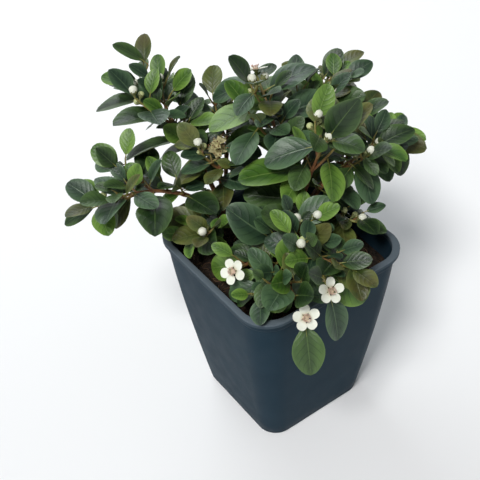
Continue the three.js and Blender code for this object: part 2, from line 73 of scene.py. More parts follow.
def pot_half(height):
    """Half the pot's width over its plain wall, at one height or at many"""
    rise = np.minimum(height / POT_HEIGHT, 1.0)
    return mix(POT_BASE / 2, POT_RIM / 2 - LIP_WIDTH, 1 - (1 - rise) ** POT_BARREL)


def wire(tree, kind, settings=None, inputs=None):
    """Adds a shader node, with inputs that are values or sockets to link from, and gives its outputs"""
    node = tree.nodes.new("ShaderNode" + kind)
    for key, value in (settings or {}).items():
        setattr(node, key, value)
    for key, value in (inputs or {}).items():
        if isinstance(value, bpy.types.NodeSocket):
            tree.links.new(value, node.inputs[key])
        else:
            node.inputs[key].default_value = value
    return node.outputs


def reckon(tree, operation, *values, clamp=False):
    """The result of a sum on values or sockets"""
    return wire(tree, "Math", {"operation": operation, "use_clamp": clamp}, dict(enumerate(values)))[0]


def ramp(tree, value, start, end, low=0.0, high=1.0, shape="SMOOTHSTEP"):
    """A value that goes from low to high while another goes from start to end"""
    return wire(tree, "MapRange", {"interpolation_type": shape}, {
        "Value": value, "From Min": start, "From Max": end, "To Min": low, "To Max": high,
    })[0]


def blend(tree, share, low, high, mode="MIX"):
    """A colour between two others; sockets 6 and 7 of the node are its colours"""
    return wire(tree, "Mix", {"data_type": "RGBA", "blend_type": mode}, {"Factor": share, 6: low, 7: high})[2]


def own_place(tree):
    return wire(tree, "TexCoord")["Object"]


def new_group(name, inputs, outputs):
    """A shader node group with named inputs and outputs, given as name: socket type"""
    group = bpy.data.node_groups.new(name, "ShaderNodeTree")
    for in_out, sockets in (("INPUT", inputs), ("OUTPUT", outputs)):
        for label, kind in sockets.items():
            group.interface.new_socket(label, in_out=in_out, socket_type="NodeSocket" + kind)
    return group, group.nodes.new("NodeGroupInput").outputs, group.nodes.new("NodeGroupOutput").inputs


# Two colours mixed by cloudy noise, which is also given out as a value
mottle, given, result = new_group(
    "mottle",
    {
        "Vector": "Vector", "Scale": "Float", "Detail": "Float", "Sharpness": "Float",
        "Low": "Color", "High": "Color",
    },
    {"Color": "Color", "Value": "Float"},
)
cloud_inputs = {label: given[label] for label in ("Vector", "Scale", "Detail")}
cloud = wire(mottle, "TexNoise", inputs=cloud_inputs)["Fac"]
centred = reckon(mottle, "SUBTRACT", cloud, 0.5)
value = reckon(mottle, "MULTIPLY_ADD", centred, given["Sharpness"], 0.5, clamp=True)
mottle.links.new(blend(mottle, value, given["Low"], given["High"]), result["Color"])
mottle.links.new(value, result["Value"])


def clouded(tree, scale, detail, sharpness, low=(0, 0, 0, 1), high=(1, 1, 1, 1)):
    """The mottle's colour and value over a piece"""
    return wire(tree, "Group", {"node_tree": mottle}, {
        "Vector": own_place(tree), "Scale": scale, "Detail": detail, "Sharpness": sharpness,
        "Low": low, "High": high,
    })


def new_finish(name, roughness, **sockets):
    """A material, its node tree and its shader, with the sockets that are the same all over set"""
    finish = bpy.data.materials.new(name)
    finish.use_nodes = True
    shader = finish.node_tree.nodes["Principled BSDF"]
    shader.inputs["Roughness"].default_value = roughness
    for key, value in sockets.items():
        shader.inputs[key.replace("_", " ")].default_value = value
    return finish, finish.node_tree, shader


def dress(tree, shader, colour, height, strength, distance):
    """Gives a shader its colour, and its relief from a height"""
    tree.links.new(colour, shader.inputs["Base Color"])
    bump = wire(tree, "Bump", inputs={"Height": height, "Strength": strength, "Distance": distance})
    tree.links.new(bump["Normal"], shader.inputs["Normal"])


def satin_plastic():
    """Slate blue with faint dusty scuffs, and a painted highlight along the rim: paler on the lip, palest on
    its crest
    """
    finish, tree, shader = new_finish("slate blue satin plastic", 0.42, Specular_IOR_Level=0.03)
    body = clouded(tree, 38.0, 5.0, 1.6, (0.011, 0.026, 0.040, 1), (0.016, 0.036, 0.053, 1))
    scuffs = clouded(tree, 120.0, 6.0, 3.0)["Value"]
    colour = blend(tree, scuffs, body["Color"], (0.004, 0.004, 0.004, 1), "SCREEN")
    height = wire(tree, "SeparateXYZ", inputs={0: own_place(tree)})["Z"]
    # Painted highlight: the lip is painted paler where the rim's rounded top would catch the light
    lip_highlight = ramp(tree, height, (LIP_FOOT - 0.1) * MM, (LIP_FOOT + 0.5) * MM)
    colour = blend(tree, lip_highlight, colour, (0.046, 0.066, 0.082, 1))
    # Painted highlight: a pale line painted along the crest of the rim
    crest = ramp(tree, height, (POT_HEIGHT - 1.1) * MM, (POT_HEIGHT - 0.3) * MM)
    colour = blend(tree, crest, colour, (0.098, 0.122, 0.142, 1))
    tree.links.new(ramp(tree, scuffs, 0.0, 1.0, 0.40, 0.50, "LINEAR"), shader.inputs["Roughness"])
    grain = wire(tree, "TexNoise", inputs={"Vector": own_place(tree), "Scale": 1500.0, "Detail": 2.0})["Fac"]
    dress(tree, shader, colour, grain, 0.12, 0.0002)
    return finish


def carry_ring(ring, onward):
    """Extrudes the selected ring, a level and a half width, on to the next one, and returns that"""
    widen = onward[1] / ring[1]
    bpy.ops.mesh.extrude_region_move(TRANSFORM_OT_translate={"value": (0, 0, (onward[0] - ring[0]) * MM)})
    bpy.ops.transform.resize(value=(widen, widen, 1), center_override=(0, 0, 0))
    return onward


def leave_editing():
    bpy.ops.mesh.select_all(action="SELECT")
    bpy.ops.mesh.normals_make_consistent(inside=False)
    bpy.ops.object.mode_set(mode="OBJECT")


def pick(piece):
    """Makes a piece the only selected one, and the active one"""
    bpy.ops.object.select_all(action="DESELECT")
    piece.select_set(True)
    bpy.context.view_layer.objects.active = piece


def alter(piece, kind, **settings):
    """Adds a modifier to a piece and applies it"""
    pick(piece)
    bpy.ops.object.modifier_add(type=kind)
    for key, value in settings.items():
        setattr(piece.modifiers[-1], key, value)
    bpy.ops.object.modifier_apply(modifier=piece.modifiers[-1].name)


# The wall's section, up the outside, over the lip and down the inside: levels, and how far out of the
# plain wall each is
profile = [
    (0.2, -0.35), (0.8, 0.0), *((level, 0.0) for level in WALL_LEVELS),
    (COLLAR_FOOT - 0.5, 0.0), (COLLAR_FOOT - 0.1, 0.35), (COLLAR_FOOT + 0.3, COLLAR_WIDTH),
    (LIP_FOOT - 0.5, COLLAR_WIDTH), (LIP_FOOT - 0.2, 0.75), (LIP_FOOT, 1.3), (LIP_FOOT + 0.3, LIP_WIDTH),
    (POT_HEIGHT - 0.5, LIP_WIDTH), (POT_HEIGHT - 0.15, LIP_WIDTH - 0.15), (POT_HEIGHT, LIP_WIDTH - 0.5),
    (POT_HEIGHT, -0.9), (POT_HEIGHT - 0.15, -1.2), (POT_HEIGHT - 0.5, -POT_WALL),
    *((level, -POT_WALL) for level in reversed(WALL_LEVELS)), (POT_FLOOR, -POT_WALL),
]
ring = (0.0, pot_half(0) - FOOT_ROUNDING)
bpy.ops.mesh.primitive_plane_add(size=2 * ring[1] * MM)
pot = bpy.context.object
pot.name = "nursery_pot"
bpy.ops.object.mode_set(mode="EDIT")
bpy.ops.mesh.bevel(offset=BASE_CORNER * MM, segments=CORNER_STEPS, affect="VERTICES")
bpy.ops.mesh.select_all(action="SELECT")
for level, out in profile:
    ring = carry_ring(ring, (level, pot_half(level) + out))
leave_editing()
for across in (-DRAIN_PLACE, DRAIN_PLACE):
    for along in (-DRAIN_PLACE, DRAIN_PLACE):
        spot = (across * MM, along * MM, 0)
        bpy.ops.mesh.primitive_cylinder_add(radius=DRAIN_RADIUS * MM, depth=DRILL_LENGTH * MM, location=spot)
        drill = bpy.context.object
        alter(pot, "BOOLEAN", object=drill, solver="EXACT")
        bpy.data.objects.remove(drill)
bpy.ops.object.shade_smooth_by_angle(angle=radians(38))
pot.data.materials.append(satin_plastic())
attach(pot, "root")
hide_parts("pot")


# Soil: moist dark peat filled to a finger's breadth under the rim. It sinks a little at the wall, and its
# surface is open crumb with short brown fibres pressed into it.
SOIL_TOP = 90.0
SOIL_EDGE_DROP = 2.5
SOIL_BUMP = 0.6
SOIL_STEPS = 110
SOIL_EDGE = 86.0
SOIL_SLACK = 0.15
SOIL_CORNER = RIM_CORNER - 2.5
SETTLED_FROM = 0.96
SETTLED_CRUMB = 0.4
CRUMBS = 620
CRUMB_SEED = 31
FIBRES = 380
FIBRE_SEED = 32
FULL_TURN = 6.28


def soil_height(x, y):
    reach = hypot(x, y) / (POT_RIM / 2)
    bumps = 0.5 + 0.5 * sin(0.31 * x + 1.7) * sin(0.27 * y + 0.4)
    return SOIL_TOP - SOIL_EDGE_DROP * reach**4 - SOIL_BUMP * bumps


def crumbly(x, y):
    """How far crumbs lift the peat over its mean level"""
    coarse = noise.noise(Vector((x * 0.16, y * 0.16, 3.1)))
    lumps = noise.noise(Vector((x * 0.45, y * 0.45, 7.7)))
    fine = noise.noise(Vector((x * 1.3, y * 1.3, 1.9)))
    return 0.9 * coarse + 0.7 * abs(lumps) + 0.35 * fine


def chance(seed, key, item):
    """A repeatable number between 0 and 1 for each item of each key of each seed"""
    wave = sin(seed * 12.9898 + key * 78.233 + item * 37.719) * 43758.5453
    return wave - floor(wave)


def chances(seed, key, count):
    return [chance(seed, key, item) for item in range(count)]


def edge_reach(angle, half, corner):
    """How far a square with round corners reaches from its middle in one direction"""
    x, y = abs(cos(angle)), abs(sin(angle))
    straight = half / max(x, y)
    inner = half - corner
    if min(x, y) * straight <= inner:
        return straight
    middle = inner * (x + y)
    return middle + sqrt(max(middle**2 - 2 * inner**2 + corner**2, 0.0))


def mottled_finish(name, roughness, gloss, cloud, strength, distance):
    """One mottled colour all over, with relief from the same clouds"""
    finish, tree, shader = new_finish(name, roughness, Specular_IOR_Level=gloss)
    body = clouded(tree, *cloud)
    dress(tree, shader, body["Color"], body["Value"], strength, distance)
    return finish


soil_half = pot_half(SOIL_EDGE) - POT_WALL - SOIL_SLACK
bpy.ops.mesh.primitive_grid_add(x_subdivisions=SOIL_STEPS, y_subdivisions=SOIL_STEPS, size=2.0)
soil = bpy.context.object
soil.name = "peat_soil"
for vertex in soil.data.vertices:
    share = max(abs(vertex.co.x), abs(vertex.co.y))
    turn = atan2(vertex.co.y, vertex.co.x)
    reach = share * edge_reach(turn, soil_half, SOIL_CORNER)
    x, y = reach * cos(turn), reach * sin(turn)
    settle = 1.0 if share < SETTLED_FROM else SETTLED_CRUMB
    vertex.co = Vector((x, y, soil_height(x, y) + settle * crumbly(x, y))) * MM
bpy.ops.object.mode_set(mode="EDIT")
bpy.ops.mesh.select_all(action="DESELECT")
bpy.ops.mesh.select_non_manifold()
ring = (SOIL_EDGE, soil_half)
for level in (70.0, 50.0, 28.0, POT_FLOOR + 0.2):
    ring = carry_ring(ring, (level, pot_half(level) - POT_WALL - SOIL_SLACK))
bpy.ops.transform.resize(value=(1, 1, 0), center_override=(0, 0, ring[0] * MM))
bpy.ops.mesh.edge_face_add()
leave_editing()
bpy.ops.object.shade_smooth_by_angle(angle=radians(50))
peat_cloud = (420.0, 8.0, 2.6, (0.006, 0.0045, 0.0035, 1), (0.038, 0.024, 0.015, 1))
soil.data.materials.append(mottled_finish("moist peat", 0.93, 0.25, peat_cloud, 0.9, 0.0009))
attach(soil, "root")
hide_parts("soil")


class Heap:
    """Gathers many small shapes into one mesh, with a map, a tone to each point and a finish to each face"""

    def __init__(self):
        self.points, self.faces, self.maps, self.tones, self.finishes = [], [], [], [], []
        self.count = 0

    def add(self, points, faces, tone=0.5, maps=None, finish=0):
        points = np.asarray(points, float)
        self.points.append(points)
        self.faces += [tuple(self.count + corner for corner in face) for face in faces]
        self.maps.append(np.zeros((len(points), 2)) if maps is None else np.asarray(maps, float))
        self.tones.append(np.broadcast_to(np.asarray(tone, float), (len(points),)))
        self.finishes += [finish] * len(faces) if isinstance(finish, int) else finish
        self.count += len(points)

    def make(self, name, finishes, slot, sharp=50):
        mesh = bpy.data.meshes.new(name)
        mesh.from_pydata(np.concatenate(self.points) * MM, [], self.faces)
        for finish in finishes:
            mesh.materials.append(finish)
        mesh.polygons.foreach_set("material_index", self.finishes)
        corners = np.zeros(len(mesh.loops), np.int32)
        mesh.loops.foreach_get("vertex_index", corners)
        mesh.uv_layers.new(name="UVMap").data.foreach_set("uv", np.concatenate(self.maps)[corners].ravel())
        tones = mesh.attributes.new("tone", "FLOAT", "POINT")
        tones.data.foreach_set("value", np.concatenate(self.tones))
        piece = bpy.data.objects.new(name, mesh)
        bpy.context.collection.objects.link(piece)
        pick(piece)
        bpy.ops.object.shade_smooth_by_angle(angle=radians(sharp))
        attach(piece, "root")
        return piece


def unit(vector):
    return vector / norm(vector)


def ring_faces(rings, sides):
    """Faces from each ring of points to the next, and one across each end"""
    faces = []
    for low in range(0, (rings - 1) * sides, sides):
        for side in range(sides):
            after = (side + 1) % sides
            faces.append((low + side, low + after, low + sides + after, low + sides + side))
    return faces + [tuple(reversed(range(sides))), tuple(range((rings - 1) * sides, rings * sides))]


def tube(places, radii, sides):
    """Points and faces of a round limb through places, turned on from ring to ring with the least twist"""
    ways = np.gradient(np.asarray(places, float), axis=0)
    across = np.array((0.3, 1.0, 0.2))
    turns = 2 * np.pi * np.arange(sides)[:, None] / sides
    rings = []
    for place, way, radius in zip(places, ways, radii):
        along = unit(way)
        across = unit(across - along * np.dot(across, along))
        rings.append(place + radius * (np.cos(turns) * across + np.sin(turns) * np.cross(along, across)))
    return np.concatenate(rings), ring_faces(len(rings), sides)


def own_tone(tree):
    """The tone that a heap's shapes were given"""
    return wire(tree, "Attribute", {"attribute_name": "tone"})["Fac"]


def toned_finish(name, low, high, grain):
    """A colour between two, by the tone dealt out piece by piece"""
    finish, tree, shader = new_finish(name, 0.9, Specular_IOR_Level=0.3)
    relief = wire(tree, "TexNoise", inputs={"Vector": own_place(tree), "Scale": grain, "Detail": 6.0})["Fac"]
    dress(tree, shader, blend(tree, own_tone(tree), low, high), relief, 0.7, 0.0004)
    return finish


def soil_spot(seed, item):
    """A repeatable place on the peat"""
    turn = 2 * pi * chance(seed, item, 1)
    reach = edge_reach(turn, soil_half - 1.6, RIM_CORNER - 3) * sqrt(chance(seed, item, 2))
    x, y = reach * cos(turn), reach * sin(turn)
    return np.array((x, y, soil_height(x, y) + crumbly(x, y)))


bpy.ops.mesh.primitive_ico_sphere_add(subdivisions=1, radius=1.0)
ball = bpy.context.object
ball_points = np.array([vertex.co for vertex in ball.data.vertices])
ball_faces = [tuple(face.vertices) for face in ball.data.polygons]
bpy.data.objects.remove(ball)

crumbs = Heap()
for item in range(CRUMBS):
    draw = np.array(chances(CRUMB_SEED, item, 20 + len(ball_points)))
    size = 0.35 + 1.15 * draw[3] ** 3
    uneven, stretch = 1 + 0.35 * (draw[20:] - 0.5), 0.7 + 0.8 * draw[4:7]
    turned = np.array(Euler(FULL_TURN * draw[7:10]).to_matrix())
    shape = (ball_points * uneven[:, None] * stretch * size) @ turned.T
    spot = soil_spot(CRUMB_SEED, item) + np.array((0, 0, 0.25 * size))
    crumbs.add(spot + shape, ball_faces, tone=draw[10] ** 2)
crumb_finish = toned_finish("peat crumb", (0.010, 0.007, 0.005, 1), (0.085, 0.048, 0.027, 1), 900.0)
crumbs.make("peat_crumbs", [crumb_finish], "soil", sharp=30)

fibres = Heap()
for item in range(FIBRES):
    draw = chances(FIBRE_SEED, item, 9)
    spot, turn = soil_spot(FIBRE_SEED, item), FULL_TURN * draw[3]
    length, rise = 2.0 + 7.0 * draw[4] ** 2, 0.15 + 1.3 * draw[6] ** 3
    way = np.array((cos(turn), sin(turn), 0.0))
    bend = np.array((-way[1], way[0], 0.0)) * (draw[5] - 0.5) * length * 0.7
    places = []
    for step in np.linspace(-0.5, 0.5, 5):
        place = spot + way * length * step + bend * (0.25 - step**2) * 4
        ground = soil_height(place[0], place[1]) + crumbly(place[0], place[1])
        place[2] = ground + 0.15 + rise * (0.3 + 0.7 * (step + 0.5))
        places.append(place)
    thick = 0.1 + 0.16 * draw[7]
    if max(abs(places[0][:2]).max(), abs(places[-1][:2]).max()) < soil_half - 3:
        radii = [thick, thick * 1.1, thick, thick * 0.8, thick * 0.4]
        fibres.add(*tube(places, radii, 3), tone=draw[8])
fibre_finish = toned_finish("peat fibre", (0.022, 0.013, 0.008, 1), (0.17, 0.095, 0.05, 1), 700.0)
fibres.make("peat_fibres", [fibre_finish], "soil")


# Limbs: several stems stand close together on one root. Each forks low down into shoots, which arch out
# over the rim. Every shoot is bare at first, then carries leaves in two rows, side twigs in the axils of
# some, and buds or blossom at its end. The rule below lays the whole plant out before any of it is made.
GAP = 0.3
SOIL_SEAT = 0.15
LIGHT_SIDE = 237.0
# name, foot, top, height, radius
STEMS = [
    ("main", (11, 4), (14, 3), 14, 3.0),
    ("front", (-13, -8), (-15, -9), 9, 2.2),
    ("back", (-8, 31), (-10, 33), 12, 2.3),
]
# name, stem, share of its height, tip, arch, bare share, compass of the leaf rows, leaf length, end, hang
SHOOTS = [
    ("crown", "main", 1.0, (20, -9, 152), 6, 0.18, -33, 27, "buds", None),
    ("right_high", "main", 0.85, (45, -14, 140), 11.5, 0.28, 60, 22, "buds", None),
    ("right_out", "main", 0.7, (72, 2, 126), 24, 0.32, 85, 23, "leaves", None),
    ("back_right", "main", 0.9, (70, 48, 140), 26, 0.32, 130, 23, "buds", None),
    ("back_high", "main", 0.95, (22, 44, 161), 12, 0.3, -20, 25, "flowers", None),
    ("back_low", "main", 0.55, (36, 33, 112), 9, 0.3, 130, 20, "leaves", None),
    ("right_low", "main", 0.6, (26, -24, 113), 9, 0.3, 20, 18, "buds", None),
    ("front_right", "main", 0.75, (-9, -47, 107), 14, 0.26, 0, 22, "flower", (1.3, 1)),
    ("front_drooping", "front", 0.9, (-25, -50, 103), 14, 0.2, 5, 23, "flower", (1.1, -1)),
    ("front_left", "front", 0.7, (-34, -13, 108), 8, 0.2, 80, 20, "flower", None),
    ("front_corner", "front", 0.5, (-33, -29, 105), 7, 0.24, -50, 19, "leaves", None),
    ("middle", "front", 1.0, (-3, -14, 121), 4, 0.2, -40, 22, "buds", None),
    ("left_high", "back", 1.0, (-9, 34, 140), 4, 0.4, -30, 22, "spent", None),
    ("left_low", "back", 0.6, (-31, 22, 103), 8, 0.22, 70, 19, "leaves", None),
    ("left_out", "back", 0.8, (-66, 52, 122), 22, 0.32, 75, 23, "buds", None),
    ("back_left", "back", 0.9, (-18, 92, 146), 26, 0.32, 10, 25, "buds", None),
    ("back_out", "back", 0.75, (34, 84, 124), 28, 0.32, -25, 23, "flowers", None),
]
FORK_SEAT = 0.96
BEND_SHARES = np.array((0.42, 0.42, 0.5))
LEAF_STALK = 3.4
LEAF_WIDTH = 0.62
LEAF_FOLD = 0.2
LEAF_ARCH = 0.16
LEAF_DROOP = 0.28
DROOP_RISE = 25
LEAF_SPACING = 7.6
LEAF_SPREAD = 62
HANGING_SPREAD = 14
LEAF_FACE = 0.3
LEAF_LIGHT = 0.4
USUAL_LEAF = 22
TWIG_LENGTH = 19
TWIG_SPREAD = 46
TWIG_LEAF = 0.78
TWIG_SPACING = 7.5
TWIG_CHANCE = 0.62
TWIG_ENDS = 0.75
TWIG_FLOWERS = 0.3
FLOWER_ACROSS = 12.4
FLOWER_STALK = 3.4
BUD_RADIUS = 2.1
BUD_STALK = 2.3
# Room that each keeps around it, how far a leaf may stray towards another shoot, and a leaf's tries
LEAF_ROOM = 2.0
TWIG_ROOM = 1.2
BUDS_ROOM = 3
LIMB_ROOM = 0.8
POT_ROOM = 0.7
SPACE_SLACK = 12
TRIES = 10
# Owners of room that isn't a shoot's, then keys and items of a shoot's draws
STEM_OWNER = -1
OPEN_OWNER = -2
LAST_LEAF_KEY = 91
TWIG_KEY = 40
SPUR_KEY = 200
GROWN_ITEM = 7
TWIG_ITEM = 100
BLOOM_ITEM = 120
END_ITEM = 121


def draws(seed, key, start, count):
    """Repeatable numbers between -1 and 1, for items in a row"""
    return [chance(seed, key, start + item) * 2 - 1 for item in range(count)]


def compass(degrees):
    return np.array((cos(radians(degrees)), sin(radians(degrees)), 0.0))


def away_from_pot(place):
    """The level direction from the pot's middle to a place"""
    return unit(np.array((place[0], place[1], 0.0)))


def level_across(heading):
    return unit(np.cross(heading, (0, 0, 1.0)))


class Bend:
    """A curve from a foot, past a bend, to a tip"""

    def __init__(self, foot, bend, tip):
        self.corners = [np.array(corner, float) for corner in (foot, bend, tip)]

    def place(self, share):
        foot, bend, tip = self.corners
        return foot * (1 - share) ** 2 + bend * 2 * share * (1 - share) + tip * share**2

    def along(self, share):
        return unit(self.place(min(share + 0.0001, 1.0)) - self.place(max(share - 0.0001, 0.0)))

    def at(self, share):
        return self.place(share), self.along(share)

    def places(self, start, end, steps):
        return np.array([self.place(mix(start, end, step / steps)) for step in range(steps + 1)])

    def length(self):
        return norm(np.diff(self.places(0, 1, 200), axis=0), axis=1).sum()


def limb(curve, key, small, **facts):
    """A shoot, twig or spur, with lists for the leaves and ends that it comes to bear"""
    return SimpleNamespace(curve=curve, key=key, small=small, leaves=[], ends=[], **facts)


stems = {}
for name, foot, top, rise, radius in STEMS:
    ground = soil_height(*foot) + SOIL_SEAT + GAP
    crest = SOIL_TOP + rise
    curve = Bend((*foot, ground), (*foot, mix(ground, crest, 0.5)), (*top, crest))
    stems[name] = SimpleNamespace(curve=curve, radius=radius)

shoots = []
for index, (name, stem, share, tip, arch, bare, rows, leaf, end, hang) in enumerate(SHOOTS):
    foot = stems[stem].curve.place(share * FORK_SEAT)
    tip = np.array(tip, float)
    bend = mix(foot, tip, BEND_SHARES) + np.array((0, 0, arch))
    curve = Bend(foot, bend, tip)
    shoots.append(limb(
        curve, 0, False, name=name, index=index, seed=index + 1, length=curve.length(), bare=bare,
        rows=compass(rows), leaf=leaf, end=end, hang=hang, twigs=[],
    ))

spines = [shoot.curve.places(shoot.bare, 1, floor(shoot.length / 3 + 0.5)) for shoot in shoots]
spine_owners = np.concatenate([[index] * len(spine) for index, spine in enumerate(spines)])
spines = np.concatenate(spines)


class Room:
    """The spots that limbs, leaves and blossom have taken: place, reach and owner"""

    def __init__(self):
        self.places = np.zeros((60000, 3))
        self.reaches = np.zeros(60000)
        self.owners = np.zeros(60000, int)
        self.count = 0

    def take(self, places, reach, owner):
        places = np.atleast_2d(places)
        stretch = slice(self.count, self.count + len(places))
        self.places[stretch], self.reaches[stretch], self.owners[stretch] = places, reach, owner
        self.count += len(places)

    def has(self, points, reach, owner, root):
        points = np.atleast_2d(points)
        if not clear_of_pot(points).all():
            return False
        middle = points.mean(axis=0)
        span = norm(points - middle, axis=1).max() + reach + FLOWER_ACROSS / 3
        near = norm(self.places[: self.count] - middle, axis=1) < span
        places, reaches = self.places[: self.count][near], self.reaches[: self.count][near]
        own = self.owners[: self.count][near] == owner
        away = norm(points[:, None] - places[None], axis=2)
        rooted = (norm(points - root, axis=1) < 2.2 * reach)[:, None]
        return bool(np.where(own, (away > 0.95 * reach) | rooted, away > reach + reaches).all())


def outside(points, half, corner):
    """How far points lie outside a square with round corners"""
    gap = np.abs(points[:, :2]) - np.reshape(half - corner, (-1, 1))
    beyond = norm(np.maximum(gap, 0), axis=1)
    return beyond + np.minimum(gap.max(axis=1), 0) - corner


def clear_of_pot(points):
    """Whether each point is over the rim, outside it, or over the peat within the wall"""
    z = points[:, 2]
    corners = mix(BASE_CORNER, RIM_CORNER, z / POT_HEIGHT)
    within = outside(points, pot_half(z) - POT_WALL, corners) < -POT_ROOM
    ground = np.array([soil_height(*point[:2]) for point in points])
    return (
        (z > POT_HEIGHT + POT_ROOM)
        | (outside(points, np.full(len(points), POT_RIM / 2), RIM_CORNER) > POT_ROOM)
        | (within & (z > ground + POT_ROOM))
    )


room = Room()
for stem in stems.values():
    room.take(stem.curve.places(0, 1, 5), stem.radius, STEM_OWNER)
for shoot in shoots:
    room.take(shoot.curve.places(0.1, 1, 24), LIMB_ROOM, shoot.index)


def blade_half(share, width, fullness=1.1, foot=0.9, point=0.5):
    """Half the width of a blade, with how far up it is widest and how blunt its foot and tip are"""
    return width / 2 * sin(pi * min(share**fullness, 1.0)) ** mix(foot, point, share)


def blade_point(leaf, share, across):
    half = blade_half(share, leaf.width) * across
    rise = LEAF_FOLD * abs(half) - LEAF_ARCH * leaf.length * share**2
    return leaf.base + leaf.along * leaf.length * share + leaf.side * half + leaf.up * rise


TOWARD_LIGHT = LEAF_LIGHT * compass(LIGHT_SIDE)


def in_own_space(point, owner):
    """Whether a point isn't much nearer to another shoot than to its own"""
    away = norm(spines - point, axis=1)
    own = spine_owners == owner
    return away[own].min() < away[~own].min() + SPACE_SLACK


def branch_off(along, rows, sign, spread, turn):
    """A heading that leaves a limb at an angle, towards one side of its rows and turned up or down"""
    spread, turn = radians(spread), radians(turn)
    side = unit(rows - along * np.dot(rows, along))
    other = np.cross(along, side)
    other = -other if other[2] < 0 else other
    lift = sin(spread) * sin(turn)
    return unit(along * cos(spread) + side * sign * sin(spread) * cos(turn) + other * lift)


def grow_leaf(shoot, bearer, key, root, along, rows, sign, length, hang=None, clearance=LEAF_ROOM):
    """A leaf on a shoot or twig, tried at a few angles and left out where none has room"""
    droop = LEAF_DROOP * min(max((root[2] - POT_HEIGHT) / DROOP_RISE, 0), 1) if hang is None else hang
    for attempt in range(TRIES):
        draw = draws(shoot.seed, key, attempt * 10, 7)
        spread = HANGING_SPREAD + 10 * draw[1]
        if hang is None:
            spread = LEAF_SPREAD + 24 * along[2] + 18 * draw[1]
        heading = branch_off(along, rows, sign, spread, 8 + (36 + 6 * attempt) * draw[2])
        heading = unit(heading - np.array((0, 0, droop)))
        up = np.array((0.3 * draw[4], 0.3 * draw[5], 1.0)) + LEAF_FACE * away_from_pot(root) + TOWARD_LIGHT
        up = unit(up - heading * np.dot(up, heading))
        size = length * (1 + 0.12 * draw[3]) * (1 - 0.03 * attempt)
        leaf = SimpleNamespace(
            root=root, base=root + heading * LEAF_STALK * size / USUAL_LEAF, along=heading,
            side=np.cross(up, heading), up=up, length=size, width=size * LEAF_WIDTH * (1 + 0.1 * draw[6]),
            shoot=shoot, key=key,
        )
        spots = [blade_point(leaf, 0.12 * k + 0.02, v / 3.15) for k in range(1, 9) for v in range(-3, 4)]
        strays = not in_own_space(blade_point(leaf, 0.6, 0), shoot.index)
        if not strays and room.has(spots, clearance, shoot.index, root):
            room.take(spots, 0, shoot.index)
            bearer.leaves.append(leaf)
            return True
    return False


def facing_of(place, along):
    """The direction that a flower or bud faces: up and a little onwards, and low ones outwards too"""
    lean = mix(0.75, 0.3, min(max((place[2] - POT_HEIGHT - 10) / 20, 0), 1))
    return unit(np.array((0, 0, 1.0)) + lean * away_from_pot(place) + 0.35 * along)


def add_end(shoot, bearer, kind, place, along):
    """A bloom or buds; over an open flower some room is kept, so that it can be seen"""
    facing = facing_of(place, along)
    bearer.ends.append(SimpleNamespace(kind=kind, place=place, along=along, facing=facing))
    room.take(place + facing * BUD_STALK, BUD_RADIUS, shoot.index)
    if kind.startswith("flower"):
        for reach in (FLOWER_STALK, 9, 15):
            room.take(place + facing * reach, FLOWER_ACROSS / 3, OPEN_OWNER)


def grow_twig(shoot, key, root, along, rows, sign, size):
    """A side twig, bent up to the light, with smaller leaves and now and then buds or a flower"""
    draw = draws(shoot.seed, key, TWIG_ITEM, 4)
    heading = branch_off(along, rows, sign, TWIG_SPREAD + 10 * draw[1], 30 + 30 * draw[2])
    length = size * TWIG_LENGTH * (1 + 0.3 * draw[3])
    tip = root + heading * length * 0.9 + along * length * 0.2 + np.array((0, 0, length * 0.18))
    curve = Bend(root, root + heading * length * 0.5, tip)
    spots = curve.places(0, 1, 3)[1:]
    if not in_own_space(tip, shoot.index) or not room.has(spots, TWIG_ROOM, shoot.index, root):
        return
    room.take(spots, TWIG_ROOM / 2, shoot.index)
    twig = limb(curve, key, False)
    shoot.twigs.append(twig)
    leaf_length = shoot.leaf * TWIG_LEAF
    across = level_across(heading)
    count = max(1, floor(length / TWIG_SPACING + 0.5) - 1)
    for k in range(1, count + 1):
        sign = 1 if k % 2 else -1
        grow_leaf(shoot, twig, key * 10 + k, *curve.at(k / (count + 1)), across, sign, leaf_length)
    onward = curve.along(1)
    if chance(shoot.seed, key, END_ITEM) < TWIG_ENDS:
        middle = tip + facing_of(tip, onward) * (BUD_STALK + BUD_RADIUS)
        blooms = chance(shoot.seed, key, BLOOM_ITEM) < TWIG_FLOWERS
        if blooms and room.has(middle, FLOWER_ACROSS / 2 + 1, shoot.index, root):
            add_end(shoot, twig, "flower", tip, onward)
        elif room.has(middle, BUDS_ROOM, shoot.index, root):
            add_end(shoot, twig, "buds", tip, onward)
    grow_leaf(shoot, twig, key * 10 + 9, tip, onward, across, 1, leaf_length * 0.8, 0.05)


for shoot in shoots:
    curve = shoot.curve
    tip, onward = curve.at(1)
    add_end(shoot, shoot, shoot.end, tip, onward)
    last_size = shoot.leaf * (1.02 if shoot.hang else 0.8)
    lean, side = shoot.hang or (0.05, 1)
    grow_leaf(shoot, shoot, LAST_LEAF_KEY, tip, onward, shoot.rows, side, last_size, lean)
    joints = max(4, floor(shoot.length * (1 - shoot.bare) / LEAF_SPACING + 0.5))
    shoot.joints = [mix(shoot.bare + 0.04, 0.97, joint / (joints - 1)) for joint in range(joints)]
    signs = [1 if (joint + shoot.index) % 2 else -1 for joint in range(joints)]
    for joint, share in enumerate(shoot.joints):
        size = shoot.leaf * mix(0.86, 1.06, sin(pi * min(1, 0.2 + joint / joints)))
        grow_leaf(shoot, shoot, joint + 1, *curve.at(share), shoot.rows, signs[joint], size)
    for joint, share in list(enumerate(shoot.joints))[1:-1]:
        key = joint + TWIG_KEY
        if chance(shoot.seed, key, GROWN_ITEM) <= TWIG_CHANCE:
            grow_twig(shoot, key, *curve.at(share), shoot.rows, -signs[joint], mix(1.1, 0.7, share))


